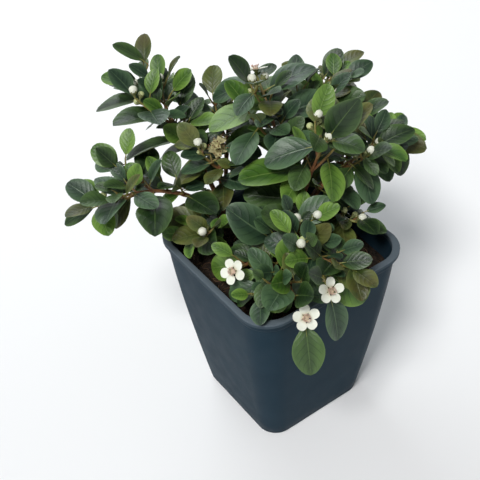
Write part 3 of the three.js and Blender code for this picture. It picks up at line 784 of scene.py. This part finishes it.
# The finer growth that only shows from near: short spurs in the axils with small young leaves, each leaf
# with its side, its share of the way along the spur and its size
SPUR_LENGTH = 6.0
SPUR_CHANCE = 0.85
TWIG_SPUR_CHANCE = 0.65
TWIG_SPUR_SHARES = (0.35, 0.6, 0.85)
OPEN_SHOOT = "crown"
OPEN_SHOOT_CHANCE = 0.3
SPUR_ROOM = 1.45
SPUR_WOOD_ROOM = 0.5
SPUR_LEAVES = ((1, 0.45, 0.76), (-1, 0.72, 0.66), (1, 1.0, 0.52))
SPUR_SHRINK = 0.72
# Over open flowers and spent ones the spurs leave room, straight up and towards the camera
OPEN_VIEW = (4, 10, 16, 22)
OPEN_REACH = 5.2
TOWARD_VIEWER = unit(np.array((-0.42, -0.63, 0.66)))


def grow_spur(shoot, key, root, along, rows, sign):
    """A spur, left out where it has no room or would bear no leaf"""
    heading = branch_off(along, rows, sign, 50, 40)
    tip = root + heading * SPUR_LENGTH + np.array((0, 0, 1.0))
    spur = limb(Bend(root, root + heading * SPUR_LENGTH / 2, tip), key, True)
    if not room.has(spur.curve.places(0, 1, 2)[1:], SPUR_WOOD_ROOM, shoot.index, root):
        return
    across = level_across(heading)
    for k, (way, reach, size) in enumerate(SPUR_LEAVES):
        size = shoot.leaf * size * mix(0.85, 1.15, chance(shoot.seed, key, k))
        lean = 0.0 if k == 2 else None
        place = spur.curve.place(reach)
        for length in (size, size * SPUR_SHRINK):
            if grow_leaf(shoot, spur, key * 10 + k, place, heading, across, way, length, lean, SPUR_ROOM):
                break
    if spur.leaves:
        shoot.twigs.append(spur)


for end in [shoot.ends[0] for shoot in shoots]:
    if end.kind not in ("buds", "leaves"):
        for reach in OPEN_VIEW:
            for way in (end.facing, TOWARD_VIEWER):
                room.take(end.place + way * reach, OPEN_REACH, OPEN_OWNER)
for shoot in shoots:
    is_open = shoot.name == OPEN_SHOOT
    likely = OPEN_SHOOT_CHANCE if is_open else SPUR_CHANCE
    bearers = [(shoot.curve, SPUR_KEY, shoot.joints, shoot.rows, likely)]
    for twig in [] if is_open else shoot.twigs:
        rows = level_across(twig.curve.along(0.5))
        bearers.append((twig.curve, twig.key * 10, TWIG_SPUR_SHARES, rows, TWIG_SPUR_CHANCE))
    for curve, first_key, shares, rows, likely in bearers:
        for number, share in enumerate(shares):
            for sign in (1, -1):
                key = first_key + 2 * number + (sign > 0)
                if chance(shoot.seed, key, GROWN_ITEM) < likely:
                    grow_spur(shoot, key, *curve.at(share), rows, sign)


# Bark: the stems and the bare foot of each shoot, one woody body. Old bark is dull grey brown with fine
# ridges, and turns smooth and orange brown, dotted with pale pores, towards the leafy part.
STEM_ROUTE = 14
STEM_SUNK = 1.2
BOUGH_ROUTE = 16
BOUGH_FOOT = 1.5
BOUGH_TIP = 1.05
BOUGH_OVERLAP = 0.06
BARK_GRID = 0.36
BARK_SMOOTHING = 4
OLD_BARK_TOP = SOIL_TOP + 16
OLD_BARK_FADE = 14
RIDGE_DEPTH = 0.22
KNOB_DEPTH = 0.1


def bark_finish():
    finish, tree, shader = new_finish("bark", 0.62, Specular_IOR_Level=0.4)
    old = clouded(tree, 900.0, 6.0, 2.4, (0.030, 0.022, 0.016, 1), (0.13, 0.09, 0.062, 1))
    young = clouded(tree, 500.0, 4.0, 1.8, (0.105, 0.040, 0.016, 1), (0.26, 0.115, 0.042, 1))
    colour = blend(tree, own_tone(tree), young["Color"], old["Color"])
    pores = wire(tree, "TexVoronoi", inputs={"Vector": own_place(tree), "Scale": 750.0})["Distance"]
    colour = blend(tree, ramp(tree, pores, 0.2, 0.12, shape="LINEAR"), colour, (0.30, 0.20, 0.12, 1))
    dress(tree, shader, colour, old["Value"], 0.5, 0.0004)
    return finish


bark = Heap()
for stem in stems.values():
    shares = np.linspace(0, 1, STEM_ROUTE)
    radii = stem.radius * (1.12 - 0.12 * shares + 0.75 * np.exp(-6 * shares))
    places = [stem.curve.place(share) for share in shares]
    places = [places[0] - np.array((0, 0, STEM_SUNK))] + places
    bark.add(*tube(places, [radii[0] * 1.05, *radii], 14))
for shoot in shoots:
    shares = np.linspace(0, shoot.bare + BOUGH_OVERLAP, BOUGH_ROUTE)
    radii = [mix(BOUGH_FOOT, BOUGH_TIP, min(share / shoot.bare, 1)) for share in shares]
    bark.add(*tube([shoot.curve.place(share) for share in shares], radii, 10))
bark = bark.make("stems_and_boughs", [bark_finish()], "bough", sharp=180)
alter(bark, "REMESH", mode="VOXEL", voxel_size=BARK_GRID * MM, use_smooth_shade=True)
alter(bark, "SMOOTH", iterations=BARK_SMOOTHING)
ages = bark.data.attributes.get("tone") or bark.data.attributes.new("tone", "FLOAT", "POINT")
places = np.array([vertex.co for vertex in bark.data.vertices]) / MM
normals = np.array([vertex.normal for vertex in bark.data.vertices])
old = np.clip((OLD_BARK_TOP - places[:, 2]) / OLD_BARK_FADE, 0, 1)
ridges = np.array([noise.noise(Vector((x * 1.6, y * 1.6, z * 0.45))) for x, y, z in places])
knobs = np.array([noise.noise(Vector((x * 0.5, y * 0.5, z * 0.5 + 9))) for x, y, z in places])
places += normals * (RIDGE_DEPTH * old * ridges + KNOB_DEPTH * knobs)[:, None]
bark.data.vertices.foreach_set("co", (places * MM).ravel())
ages.data.foreach_set("value", old)
bark.data.update()
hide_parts(*[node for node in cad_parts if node.startswith(("stem_", "bough_"))])


# Twigs: the leafy part of each shoot with its side twigs and spurs. Young wood, thin and round, slightly
# swollen at each leaf joint, red brown below and yellow green at the growing tips.
SHOOT_ROUTE = 34
SHOOT_END = 0.55
TWIG_END = 0.42
JOINT_SWELLING = 0.22
JOINT_SPAN = 0.02
GREEN_FROM = 0.72


def twig_finish():
    finish, tree, shader = new_finish("young twig", 0.5, Specular_IOR_Level=0.45)
    wood = clouded(tree, 600.0, 4.0, 2.0, (0.10, 0.036, 0.016, 1), (0.25, 0.11, 0.04, 1))
    green = clouded(tree, 400.0, 3.0, 1.6, (0.16, 0.17, 0.035, 1), (0.26, 0.27, 0.07, 1))
    colour = blend(tree, own_tone(tree), wood["Color"], green["Color"])
    dress(tree, shader, colour, wood["Value"], 0.35, 0.0003)
    return finish


def bearing_reach(twig):
    """How far along a twig its last leaf or bud sits, because nothing stands bare beyond it"""
    if twig.ends:
        return 1.0
    shares, places = np.linspace(0, 1, 21), twig.curve.places(0, 1, 20)
    nearest = [norm(places - leaf.root, axis=1).argmin() for leaf in twig.leaves]
    return shares[max(nearest, default=0)]


twigs = Heap()
for shoot in shoots:
    curve, bare = shoot.curve, shoot.bare
    shares = np.linspace(bare, 1.0, SHOOT_ROUTE)
    swelling = sum(np.exp(-(((shares - joint) / JOINT_SPAN) ** 2)) for joint in shoot.joints)
    radii = mix(BOUGH_TIP, SHOOT_END, (shares - bare) / (1 - bare)) * (1 + JOINT_SWELLING * swelling)
    places = [curve.place(share) for share in shares]
    places += [places[-1] + curve.along(1) * 0.5, places[-1] + curve.along(1) * 0.8]
    greens = np.clip((np.array([*shares, 1, 1]) - GREEN_FROM) / (1 - GREEN_FROM), 0, 1)
    twigs.add(*tube(places, [*radii, SHOOT_END * 0.7, SHOOT_END * 0.2], 8), tone=np.repeat(greens, 8))
    for twig in shoot.twigs:
        steps, foot = (4, 0.5) if twig.small else (8, 0.8)
        shares = np.linspace(0, 1, steps)
        reach = bearing_reach(twig)
        if reach > 0:
            greens = np.clip(shares * 0.9 - 0.1, 0, 1)
            places = twig.curve.places(0, reach, steps - 1)
            twigs.add(*tube(places, mix(foot, TWIG_END, shares), 6), tone=np.repeat(greens, 6))
twigs = twigs.make("leafy_twigs", [twig_finish()], "bough")
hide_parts(*[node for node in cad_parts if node.startswith("foliage_")])


# Leaves: leathery evergreen blades, broad and blunt, folded up a little along a sunken midrib, glossy above
# and paler and dull below. Old ones are deep or bluish green, those at the tips small and yellow green.
STATIONS = (0.0, 0.03, 0.09, 0.17, 0.27, 0.38, 0.50, 0.61, 0.72, 0.82, 0.90, 0.96, 1.0)
COLUMNS = (-1.0, -0.58, 0.0, 0.58, 1.0)
BLADE_THICKNESS = 0.24
BLADE_BREADTH = 1.07
BLADE_BULGE = 0.022
STALK_THICKNESS = 0.42
VEIN_PAIRS = 6.0
KIND_ITEM = 301
SHAPE_ITEM = 310

# Masks of the veins over a blade's own map, and their relief
veining, given, result = new_group(
    "leaf veins",
    {"Vector": "Vector", "Pairs": "Float"},
    {"Across": "Float", "Midrib": "Float", "Veins": "Float", "Margin": "Float", "Height": "Float"},
)
axes = wire(veining, "SeparateXYZ", inputs={0: given["Vector"]})
off_middle = reckon(veining, "ABSOLUTE", reckon(veining, "MULTIPLY_ADD", axes["Y"], 2.0, -1.0))
midrib = ramp(veining, off_middle, reckon(veining, "MULTIPLY_ADD", axes["X"], -0.07, 0.10), 0.0)
bowed = reckon(veining, "MULTIPLY_ADD", reckon(veining, "POWER", off_middle, 1.25), -0.33, axes["X"])
phase = reckon(veining, "MULTIPLY", bowed, given["Pairs"])
crests = reckon(veining, "COSINE", reckon(veining, "MULTIPLY", phase, 2 * pi))
veins = reckon(veining, "MULTIPLY", ramp(veining, crests, 0.72, 1.0), ramp(veining, off_middle, 0.92, 0.6))
margin = ramp(veining, off_middle, 0.86, 1.0)
net = wire(veining, "TexNoise", inputs={"Vector": given["Vector"], "Scale": 26.0, "Detail": 3.0})["Fac"]
relief = reckon(veining, "MULTIPLY_ADD", veins, -0.22, reckon(veining, "MULTIPLY", net, 0.5))
relief = reckon(veining, "MULTIPLY_ADD", midrib, -1.0, relief)
relief = reckon(veining, "MULTIPLY_ADD", crests, -0.10, relief)
masks = {"Across": off_middle, "Midrib": midrib, "Veins": veins, "Margin": margin, "Height": relief}
for label, socket in masks.items():
    veining.links.new(socket, result[label])


def blade_finish(name, deep, light, vein, roughness, relief=0.24, sunken=True, flush=0.0):
    """A side of a blade: two greens dealt out leaf by leaf, deeper by the rib and lighter towards the margin
    as painted shade of the fold, with a pale rib and a pale margin that is partly a painted highlight
    """
    finish, tree, shader = new_finish(name, roughness, IOR=1.45, Specular_IOR_Level=0.55 if sunken else 0.25)
    blade = wire(tree, "UVMap", {"uv_map": "UVMap"})[0]
    lines = wire(tree, "Group", {"node_tree": veining}, {"Vector": blade, "Pairs": VEIN_PAIRS})
    # Painted shade: the green is deeper along the rib's fold and lighter out towards the margin
    painted_fold_shade = ramp(tree, lines["Across"], 0.0, 0.95, -0.46, 0.40)
    green = blend(tree, reckon(tree, "ADD", own_tone(tree), painted_fold_shade, clamp=True), deep, light)
    patches = clouded(tree, 150.0, 5.0, 2.2, (0.74, 0.76, 0.80, 1), (1.24, 1.18, 1.02, 1))
    green = blend(tree, 1.0, green, patches["Color"], "MULTIPLY")
    # On the face the sunken veins are darkened, painted shade in their grooves; on the underside the raised
    # veins are made paler
    vein_shade = (0.68, 0.72, 0.68, 1) if sunken else (1.15, 1.15, 1.1, 1)
    green = blend(tree, lines["Veins"], green, vein_shade, "MULTIPLY")
    if flush:
        near_tip = wire(tree, "SeparateXYZ", inputs={0: blade})["X"]
        stains = reckon(tree, "MULTIPLY", clouded(tree, 110.0, 5.0, 7.0)["Value"], near_tip)
        green = blend(tree, reckon(tree, "MULTIPLY", stains, flush), green, (0.165, 0.090, 0.018, 1))
    pale_rib = reckon(tree, "MULTIPLY", lines["Midrib"], 0.5)
    # The pale margin is partly the edge's own paler colour and partly a painted highlight along it
    pale_margin_and_highlight = reckon(tree, "MULTIPLY", lines["Margin"], 0.45)
    colour = blend(tree, reckon(tree, "MAXIMUM", pale_rib, pale_margin_and_highlight), green, vein)
    dress(tree, shader, colour, lines["Height"], relief if sunken else -relief, 0.0011)
    return finish


# Deep, light and vein colour of each kind's upper side, and then of every underside
LEAF_KINDS = {
    "deep": ((0.010, 0.028, 0.007, 1), (0.054, 0.108, 0.028, 1), (0.095, 0.160, 0.045, 1)),
    "blue": ((0.016, 0.041, 0.020, 1), (0.064, 0.124, 0.058, 1), (0.115, 0.190, 0.088, 1)),
    "olive": ((0.030, 0.050, 0.010, 1), (0.092, 0.124, 0.029, 1), (0.145, 0.165, 0.048, 1)),
    "fresh": ((0.040, 0.104, 0.012, 1), (0.135, 0.250, 0.040, 1), (0.210, 0.320, 0.075, 1)),
}
UNDERSIDE = ((0.085, 0.125, 0.050, 1), (0.150, 0.200, 0.090, 1), (0.20, 0.25, 0.12, 1))
OLIVE_FLUSH = 0.28
# How the kinds are dealt out on a spray: shares of deep, blue and olive, the rest fresh
SPRAY_SHARES = {
    "crown": (0.40, 0.25, 0.10), "right_high": (0.30, 0.50, 0.10), "right_out": (0.35, 0.35, 0.15),
    "front_right": (0.35, 0.40, 0.10), "front_drooping": (0.45, 0.35, 0.10), "front_left": (0.60, 0.15, 0.05),
    "middle": (0.50, 0.35, 0.05), "left_high": (0.30, 0.30, 0.35), "left_low": (0.25, 0.10, 0.25),
}
USUAL_SHARES = (0.42, 0.30, 0.14)
FRESHER_WHEN_SMALL = 0.14


def kind_of(leaf, small):
    shares = np.cumsum(SPRAY_SHARES.get(leaf.shoot.name, USUAL_SHARES))
    draw = chance(leaf.shoot.seed, leaf.key, KIND_ITEM) + (FRESHER_WHEN_SMALL if small else 0.0)
    return list(LEAF_KINDS)[int(np.searchsorted(shares, draw))]


def blade_grid(leaf, draw):
    """Places over a blade, row by row from stalk to tip: folded, bulging, twisted and softly waved"""
    twist, sway, curl, wave = 0.4 * draw[0], 0.09 * draw[1], 0.3 + 0.15 * draw[2], 0.5 * draw[3]
    fullness, point, fold = 1.06 + 0.08 * draw[1], 0.53 + 0.09 * draw[2], LEAF_FOLD * (1.5 + 0.5 * draw[3])
    rows = []
    for share in STATIONS:
        turn = twist * share
        side = leaf.side * cos(turn) + leaf.up * sin(turn)
        up = leaf.up * cos(turn) - leaf.side * sin(turn)
        spine = leaf.base + leaf.along * leaf.length * share + side * sway * leaf.length * share**2
        spine = spine - leaf.up * LEAF_ARCH * leaf.length * share**2
        half = blade_half(share, leaf.width * BLADE_BREADTH, fullness, 0.78, point)
        row = []
        for column in COLUMNS:
            reach, across = half * column, abs(column)
            rise = fold * abs(reach) * (1 - curl * across**2)
            rise += BLADE_BULGE * leaf.length * sin(pi * across) * sin(pi * share)
            ripple = wave * sin(8 * share + 3 * draw[0] + column) * across**2 * sin(pi * share)
            row.append(spine + side * reach + up * (rise + ripple * leaf.length / 25))
        rows.append(row)
    return np.array(rows)


def sheet_points(grid):
    """A grid's points, with the middle of its first and last row in place of those rows"""
    middle = grid.shape[1] // 2
    return [grid[0][middle], *grid[1:-1].reshape(-1, 3), grid[-1][middle]]


def sheet_faces(rows, columns):
    """Faces of such a sheet, which runs out to a point at both ends"""
    end = 1 + rows * columns
    faces = [(0, 2 + c, 1 + c) for c in range(columns - 1)]
    for start in range(1, end - columns, columns):
        for c in range(start, start + columns - 1):
            faces.append((c, c + 1, c + columns + 1, c + columns))
    return faces + [(c, c + 1, end) for c in range(end - columns, end - 1)]


def keel_faces(rows, columns):
    """Faces of a blade's underside, from each margin in to the rib, whose points follow those of the top"""
    end = 1 + rows * columns
    left, right, rib = range(1, end, columns), range(columns, end, columns), range(end + 1, end + 1 + rows)
    faces = []
    for row in range(rows - 1):
        faces.append((left[row], left[row + 1], rib[row + 1], rib[row]))
        faces.append((rib[row], rib[row + 1], right[row + 1], right[row]))
    faces += [(0, left[0], rib[0]), (0, rib[0], right[0])]
    return faces + [(end, rib[-1], left[-1]), (end, right[-1], rib[-1])]


def sheet_map(shares, columns):
    inner = [(share, column / 2 + 0.5) for share in shares[1:-1] for column in columns]
    return [(0.0, 0.5), *inner, (1.0, 0.5)]


leaf_heaps = {kind: Heap() for kind in LEAF_KINDS}
stalks = Heap()
middle, rows = len(COLUMNS) // 2, len(STATIONS) - 2
top_faces, low_faces = sheet_faces(rows, len(COLUMNS)), keel_faces(rows, len(COLUMNS))
blade_faces, blade_sides = top_faces + low_faces, [0] * len(top_faces) + [1] * len(low_faces)
blade_map = sheet_map(STATIONS, COLUMNS) + [(share, 0.5) for share in STATIONS[1:-1]]
for shoot in shoots:
    for leaf, small in [(leaf, bearer.small) for bearer in [shoot, *shoot.twigs] for leaf in bearer.leaves]:
        draw = draws(shoot.seed, leaf.key, SHAPE_ITEM, 5)
        grid = blade_grid(leaf, draw)
        thickness = leaf.up * BLADE_THICKNESS * min(1, leaf.length / 20)
        points = sheet_points(grid) + [row[middle] - thickness for row in grid[1:-1]]
        leaf_heaps[kind_of(leaf, small)].add(points, blade_faces, 0.5 + 0.5 * draw[4], blade_map, blade_sides)
        spine = [leaf.root, mix(leaf.root, leaf.base, 0.5), grid[0][middle]]
        spine += [grid[row][middle] - leaf.up * 0.2 for row in (3, 6, 9)]
        thick = STALK_THICKNESS * sqrt(leaf.length / USUAL_LEAF)
        radii = [*(thick * share for share in (1.25, 0.9, 0.95, 0.7, 0.5)), 0.1]
        stalks.add(*tube(spine, radii, 5), tone=np.repeat((0.35, 0.6, 0.9, 1.0, 1.0, 1.0), 5))
underside = blade_finish("leaf underside", *UNDERSIDE, roughness=0.75, relief=0.4, sunken=False)
for kind, heap in leaf_heaps.items():
    flush = OLIVE_FLUSH if kind == "olive" else 0.0
    face = blade_finish("leaf face " + kind, *LEAF_KINDS[kind], roughness=0.40, flush=flush)
    heap.make("leaves_" + kind, [face, underside], "foliage", sharp=70)
stalks.make("leaf_stalks", [twig_finish()], "foliage")


# Blossom: small white flowers, each of five round separate petals that stand out flat around a cup of
# pinkish beige stamens, on a short green stalk. Buds are white balls in a green cup of five lobes, and
# spent flowers keep the cup, dry and beige, with threads and dark dots in it.
PETAL_LENGTH = 5.2
PETAL_WIDTH = 4.5
PETAL_ROWS = (0.0, 0.1, 0.22, 0.38, 0.56, 0.74, 0.88, 0.96, 1.0)
PETAL_COLUMNS = (-1.0, -0.5, 0.0, 0.5, 1.0)
PETAL_FOOT = 0.9
PETAL_THICKNESS = 0.12
STAMENS = 16
SPENT_STAMENS = 12
PETAL_KEY = 400
STAMEN_KEY = 450
SPENT_KEY = 470
# Turned sections as heights along the stalk and radii
FLOWER_CUP = [(-0.6, 0.3), (1.2, 0.35), (2.2, 0.9), (3.1, 1.5), (3.4, 1.35)]
FLOWER_DISC = [(-0.5, 1.3), (0.05, 1.4), (0.25, 1.0), (0.15, 0.5)]
SPENT_CUP = [(-0.5, 0.35), (1.6, 0.5), (2.6, 1.5), (3.6, 1.9), (4.5, 2.2), (4.0, 1.5), (3.2, 0.8)]
# Buds at a tip: how far back along the shoot each is rooted, its lean across two ways, and its size
BUD_GROUPS = {
    "leaves": [],
    "flower": [],
    "flowers": [(3, 1.9, 0.6, 1), (5.5, -1.7, 0.9, 0.8)],
    "buds": [(0, 0.2, 0, 1), (2.6, 1.1, 0.9, 0.75), (5, -0.8, 1.2, 0.75)],
    "spent": [
        (0, 0.9, 0, 0.7), (1, -0.4, -0.9, 0.7), (2, 0.3, 0.9, 0.7), (3.6, -0.8, 0.4, 0.7),
        (4.5, 0.9, -0.5, 0.7), (5.6, -0.3, -0.9, 0.7), (7, 0.5, 1, 0.7),
    ],
}
WHITE_BUD_SIZE = 0.78


def petal_finish():
    """White with a beige green claw, and as green all over as the tone says, for young buds"""
    finish, tree, shader = new_finish("white petal", 0.55, Specular_IOR_Level=0.3)
    along = wire(tree, "SeparateXYZ", inputs={0: wire(tree, "UVMap", {"uv_map": "UVMap"})[0]})["X"]
    white = clouded(tree, 350.0, 3.0, 1.5, (0.68, 0.70, 0.57, 1), (0.80, 0.82, 0.73, 1))
    colour = blend(tree, ramp(tree, along, 0.0, 0.45), (0.55, 0.50, 0.33, 1), white["Color"])
    greenness = ramp(tree, own_tone(tree), 0.5, 1.0, shape="LINEAR")
    colour = blend(tree, greenness, colour, (0.42, 0.46, 0.18, 1))
    dress(tree, shader, colour, white["Value"], 0.25, 0.0003)
    return finish


def dry_finish():
    """Dry cups: greenish buff, with pale threads and dark red brown dots at their ends"""
    finish, tree, shader = new_finish("dry cup", 0.75, Specular_IOR_Level=0.25)
    cup = clouded(tree, 600.0, 5.0, 2.2, (0.30, 0.28, 0.12, 1), (0.62, 0.56, 0.32, 1))
    dotted = ramp(tree, own_tone(tree), 0.85, 0.9, shape="LINEAR")
    colour = blend(tree, dotted, cup["Color"], (0.16, 0.06, 0.035, 1))
    dress(tree, shader, colour, cup["Value"], 0.5, 0.0003)
    return finish


def across_pair(heading):
    """Two directions across a heading"""
    across = unit(np.cross((0.2, 1.0, 0.1), heading))
    return across, np.cross(heading, across)


def way_round(pair, turn):
    return pair[0] * cos(turn) + pair[1] * sin(turn)


def revolve(root, heading, profile, sides, lobes=0, depth=0.0):
    """A turned shape along a heading from (height, radius) pairs, its sides cut into lobes by a depth"""
    pair = across_pair(heading)
    points = []
    for height, radius in profile:
        for turn in [2 * pi * side / sides for side in range(sides)]:
            swing = 1 + depth * cos(lobes * turn)
            points.append(root + heading * height + way_round(pair, turn) * radius * swing)
    return points, ring_faces(len(profile), sides)


def petal_half(share, width):
    """Half the width of a petal: a round limb on a narrow claw"""
    limb_share = max((share - 0.12) / 0.88, 0.0)
    round_limb = sqrt(max(1 - (2 * limb_share - 1) ** 2, 0.0))
    claw = 0.22 * sqrt(max(1 - share, 0.0))
    return width / 2 * max(round_limb**0.9, claw if share > 0 else 0.0)


def petal_grid(middle, facing, outward, draw):
    """Places over a petal, row by row from its claw: leaning up, cupped and softly waved"""
    aside = np.cross(facing, outward)
    lean = 0.12 + 0.14 * draw[1]
    length, width = PETAL_LENGTH * (1 + 0.05 * draw[2]), PETAL_WIDTH * (1 + 0.06 * draw[3])
    grid = []
    for share in PETAL_ROWS:
        half = petal_half(share, width)
        reach = PETAL_FOOT + length * share
        for column in PETAL_COLUMNS:
            cup = 0.9 * (share - 0.35) ** 2 + 0.22 * (column * half / 2.6) ** 2 * 2
            wave = 0.12 * sin(3 * column + 5 * share + 3 * draw[0]) * share
            rise = lean * reach * 0.6 + cup * 0.9 + wave
            grid.append(middle + outward * reach + aside * half * column + facing * rise)
    return np.array(grid).reshape(len(PETAL_ROWS), len(PETAL_COLUMNS), 3)


petals, hearts, cups, spent = Heap(), Heap(), Heap(), Heap()
petal_map = sheet_map(PETAL_ROWS, PETAL_COLUMNS)
petal_faces = sheet_faces(len(PETAL_ROWS) - 2, len(PETAL_COLUMNS))
petal_backs = [tuple(reversed(face)) for face in petal_faces]


def add_thread(heap, foot, tip, bow, radii, tone, head):
    """A stamen: a thread bowed at its middle, with a round head unless its size is 0"""
    heap.add(*tube([foot, (foot + tip) / 2 + bow, tip], radii, 3), tone=tone)
    if head:
        heap.add(tip + ball_points * head, ball_faces, tone=1.0)


def add_flower(place, facing, seed):
    pair = across_pair(facing)
    middle = place + facing * FLOWER_STALK
    cups.add(*revolve(place, facing, FLOWER_CUP, 10), tone=0.3)
    hearts.add(*revolve(middle, facing, FLOWER_DISC, 12), tone=0.25)
    for petal in range(5):
        draw = draws(seed, PETAL_KEY + petal, 0, 4)
        grid = petal_grid(middle, facing, way_round(pair, radians(72 * petal + 6 * draw[0])), draw)
        petals.add(sheet_points(grid), petal_faces, 0.5, petal_map)
        petals.add(sheet_points(grid - facing * PETAL_THICKNESS), petal_backs, 0.5, petal_map)
    for stamen in range(STAMENS):
        draw = chances(seed, STAMEN_KEY + stamen, 3)
        outward = way_round(pair, 2 * pi * (stamen + 0.5 * draw[0]) / STAMENS)
        foot = middle + outward * 0.95
        tip = middle + outward * (1.2 + 0.7 * draw[1]) + facing * (1.5 + 0.7 * draw[2])
        add_thread(hearts, foot, tip, outward * -0.1, [0.13, 0.1, 0.08], 0.6, 0.32)


def add_bud(place, heading, radius, white):
    """A ball of furled petals in its cup"""
    reach = BUD_STALK + radius
    hugging = [(1.05, 0.55), (0.6, 0.86), (0.2, 0.98), (0.1, 0.9)]
    cup = [(-0.5, 0.28), (reach - 1.5 * radius, 0.34)]
    cup += [(reach - below * radius, wide * radius) for below, wide in hugging]
    cups.add(*revolve(place, heading, cup, 10, 5, 0.06), tone=0.35)
    steps = np.linspace(-0.75, 1.0, 8)
    ball = [(reach + radius * step, radius * sqrt(max(1 - step**2, 0.0009))) for step in steps]
    points, faces = revolve(place, heading, ball, 12, 5, 0.035)
    petals.add(points, faces, 0.5 if white else 0.95, [(0.33, 0.5)] * len(points))


def add_spent(place, heading, seed):
    """A dry cup with its threads, every other one with a dot"""
    pair = across_pair(heading)
    spent.add(*revolve(place, heading, SPENT_CUP, 10, 5, 0.2), tone=0.25)
    for stamen in range(SPENT_STAMENS):
        draw = chances(seed, SPENT_KEY + stamen, 3)
        outward = way_round(pair, 2 * pi * (stamen + 0.6 * draw[1]) / SPENT_STAMENS)
        foot = place + heading * 3.4 + outward * 0.8
        tip = place + heading * (5.2 + 0.8 * draw[2]) + outward * 1.6
        add_thread(spent, foot, tip, outward * 0.2, [0.16, 0.14, 0.13], 0.7, 0.34 if stamen % 2 else 0)


for shoot in shoots:
    for number, end in enumerate(end for bearer in [shoot, *shoot.twigs] for end in bearer.ends):
        seed = shoot.index * 10 + number + 1
        across, other = across_pair(end.facing)
        if end.kind.startswith("flower"):
            add_flower(end.place, end.facing, seed)
        for back, lean, turn, size in BUD_GROUPS[end.kind]:
            heading = unit(end.facing + across * lean + other * turn)
            root = end.place - end.along * back
            if end.kind == "spent":
                add_spent(root, heading, seed)
            else:
                add_bud(root, heading, BUD_RADIUS * size, size > WHITE_BUD_SIZE)
petals.make("petals", [petal_finish()], "foliage", sharp=60)
stamen_finish = toned_finish("stamen", (0.56, 0.47, 0.32, 1), (0.53, 0.35, 0.28, 1), 600.0)
hearts.make("stamens", [stamen_finish], "foliage")
cup_cloud = (500.0, 5.0, 2.2, (0.085, 0.115, 0.030, 1), (0.20, 0.19, 0.075, 1))
cup_finish = mottled_finish("green cup", 0.55, 0.35, cup_cloud, 0.3, 0.0003)
cups.make("flower_cups", [cup_finish], "foliage", sharp=60)
spent.make("spent_cups", [dry_finish()], "foliage", sharp=60)


# Stage: a plain pale floor that runs up into a backdrop, soft light from the upper left, and a camera
# where the photograph was taken from, aimed at this one plant.
CAMERA_PLACE = Vector((-196.5, -263.0, 387.0))
CAMERA_AIM = Vector((-10.0, 19.0, 92.0))
CAMERA_ROLL = -3.58
CAMERA_LENS = 68.0
FLOOR_WIDTH = 40.0

bpy.ops.mesh.primitive_plane_add(size=FLOOR_WIDTH)
pale_floor = bpy.context.object
pale_floor.name = "floor"
finish, tree, shader = new_finish("pale floor", 0.7, Specular_IOR_Level=0.2)
shader.inputs["Base Color"].default_value = (0.84, 0.84, 0.84, 1)
pale_floor.data.materials.append(finish)

world = bpy.context.scene.world or bpy.data.worlds.new("studio")
bpy.context.scene.world = world
world.use_nodes = True
sky = world.node_tree
view_height = wire(sky, "SeparateXYZ", inputs={0: wire(sky, "TexCoord")["Generated"]})["Z"]
wall = ramp(sky, view_height, 0.30, 0.10)
air = blend(sky, wall, (0.200, 0.209, 0.222, 1), (0.80, 0.81, 0.82, 1))
sky.links.new(air, sky.nodes["Background"].inputs["Color"])


def add_light(name, kind, place, way, **settings):
    """A light at a place, shining one way"""
    light = bpy.data.lights.new(name, kind)
    for key, value in settings.items():
        setattr(light, key, value)
    lamp = bpy.data.objects.new(name, light)
    bpy.context.collection.objects.link(lamp)
    lamp.location = place
    lamp.rotation_euler = Vector(way).to_track_quat("-Z", "Y").to_euler()


add_light("key", "SUN", (0, 0, 0), (0.66, 0.34, -1.05), energy=2.75, angle=radians(18))
add_light(
    "back", "AREA", (0.1, 0.8, 0.75), (-0.1, -0.8, -0.63),
    shape="DISK", size=0.6, energy=4.0, color=(0.92, 0.97, 1.0),
)

bpy.context.scene.view_settings.view_transform = "Standard"
camera = bpy.data.objects.new("camera", bpy.data.cameras.new("camera"))
bpy.context.collection.objects.link(camera)
camera.data.sensor_width = 36.0
camera.data.lens = CAMERA_LENS
camera.data.clip_start = 0.01
camera.location = CAMERA_PLACE * MM
turned = (CAMERA_AIM - CAMERA_PLACE).to_track_quat("-Z", "Y").to_matrix()
camera.rotation_euler = (turned @ Matrix.Rotation(radians(CAMERA_ROLL), 3, "Z")).to_euler()
bpy.context.scene.camera = camera
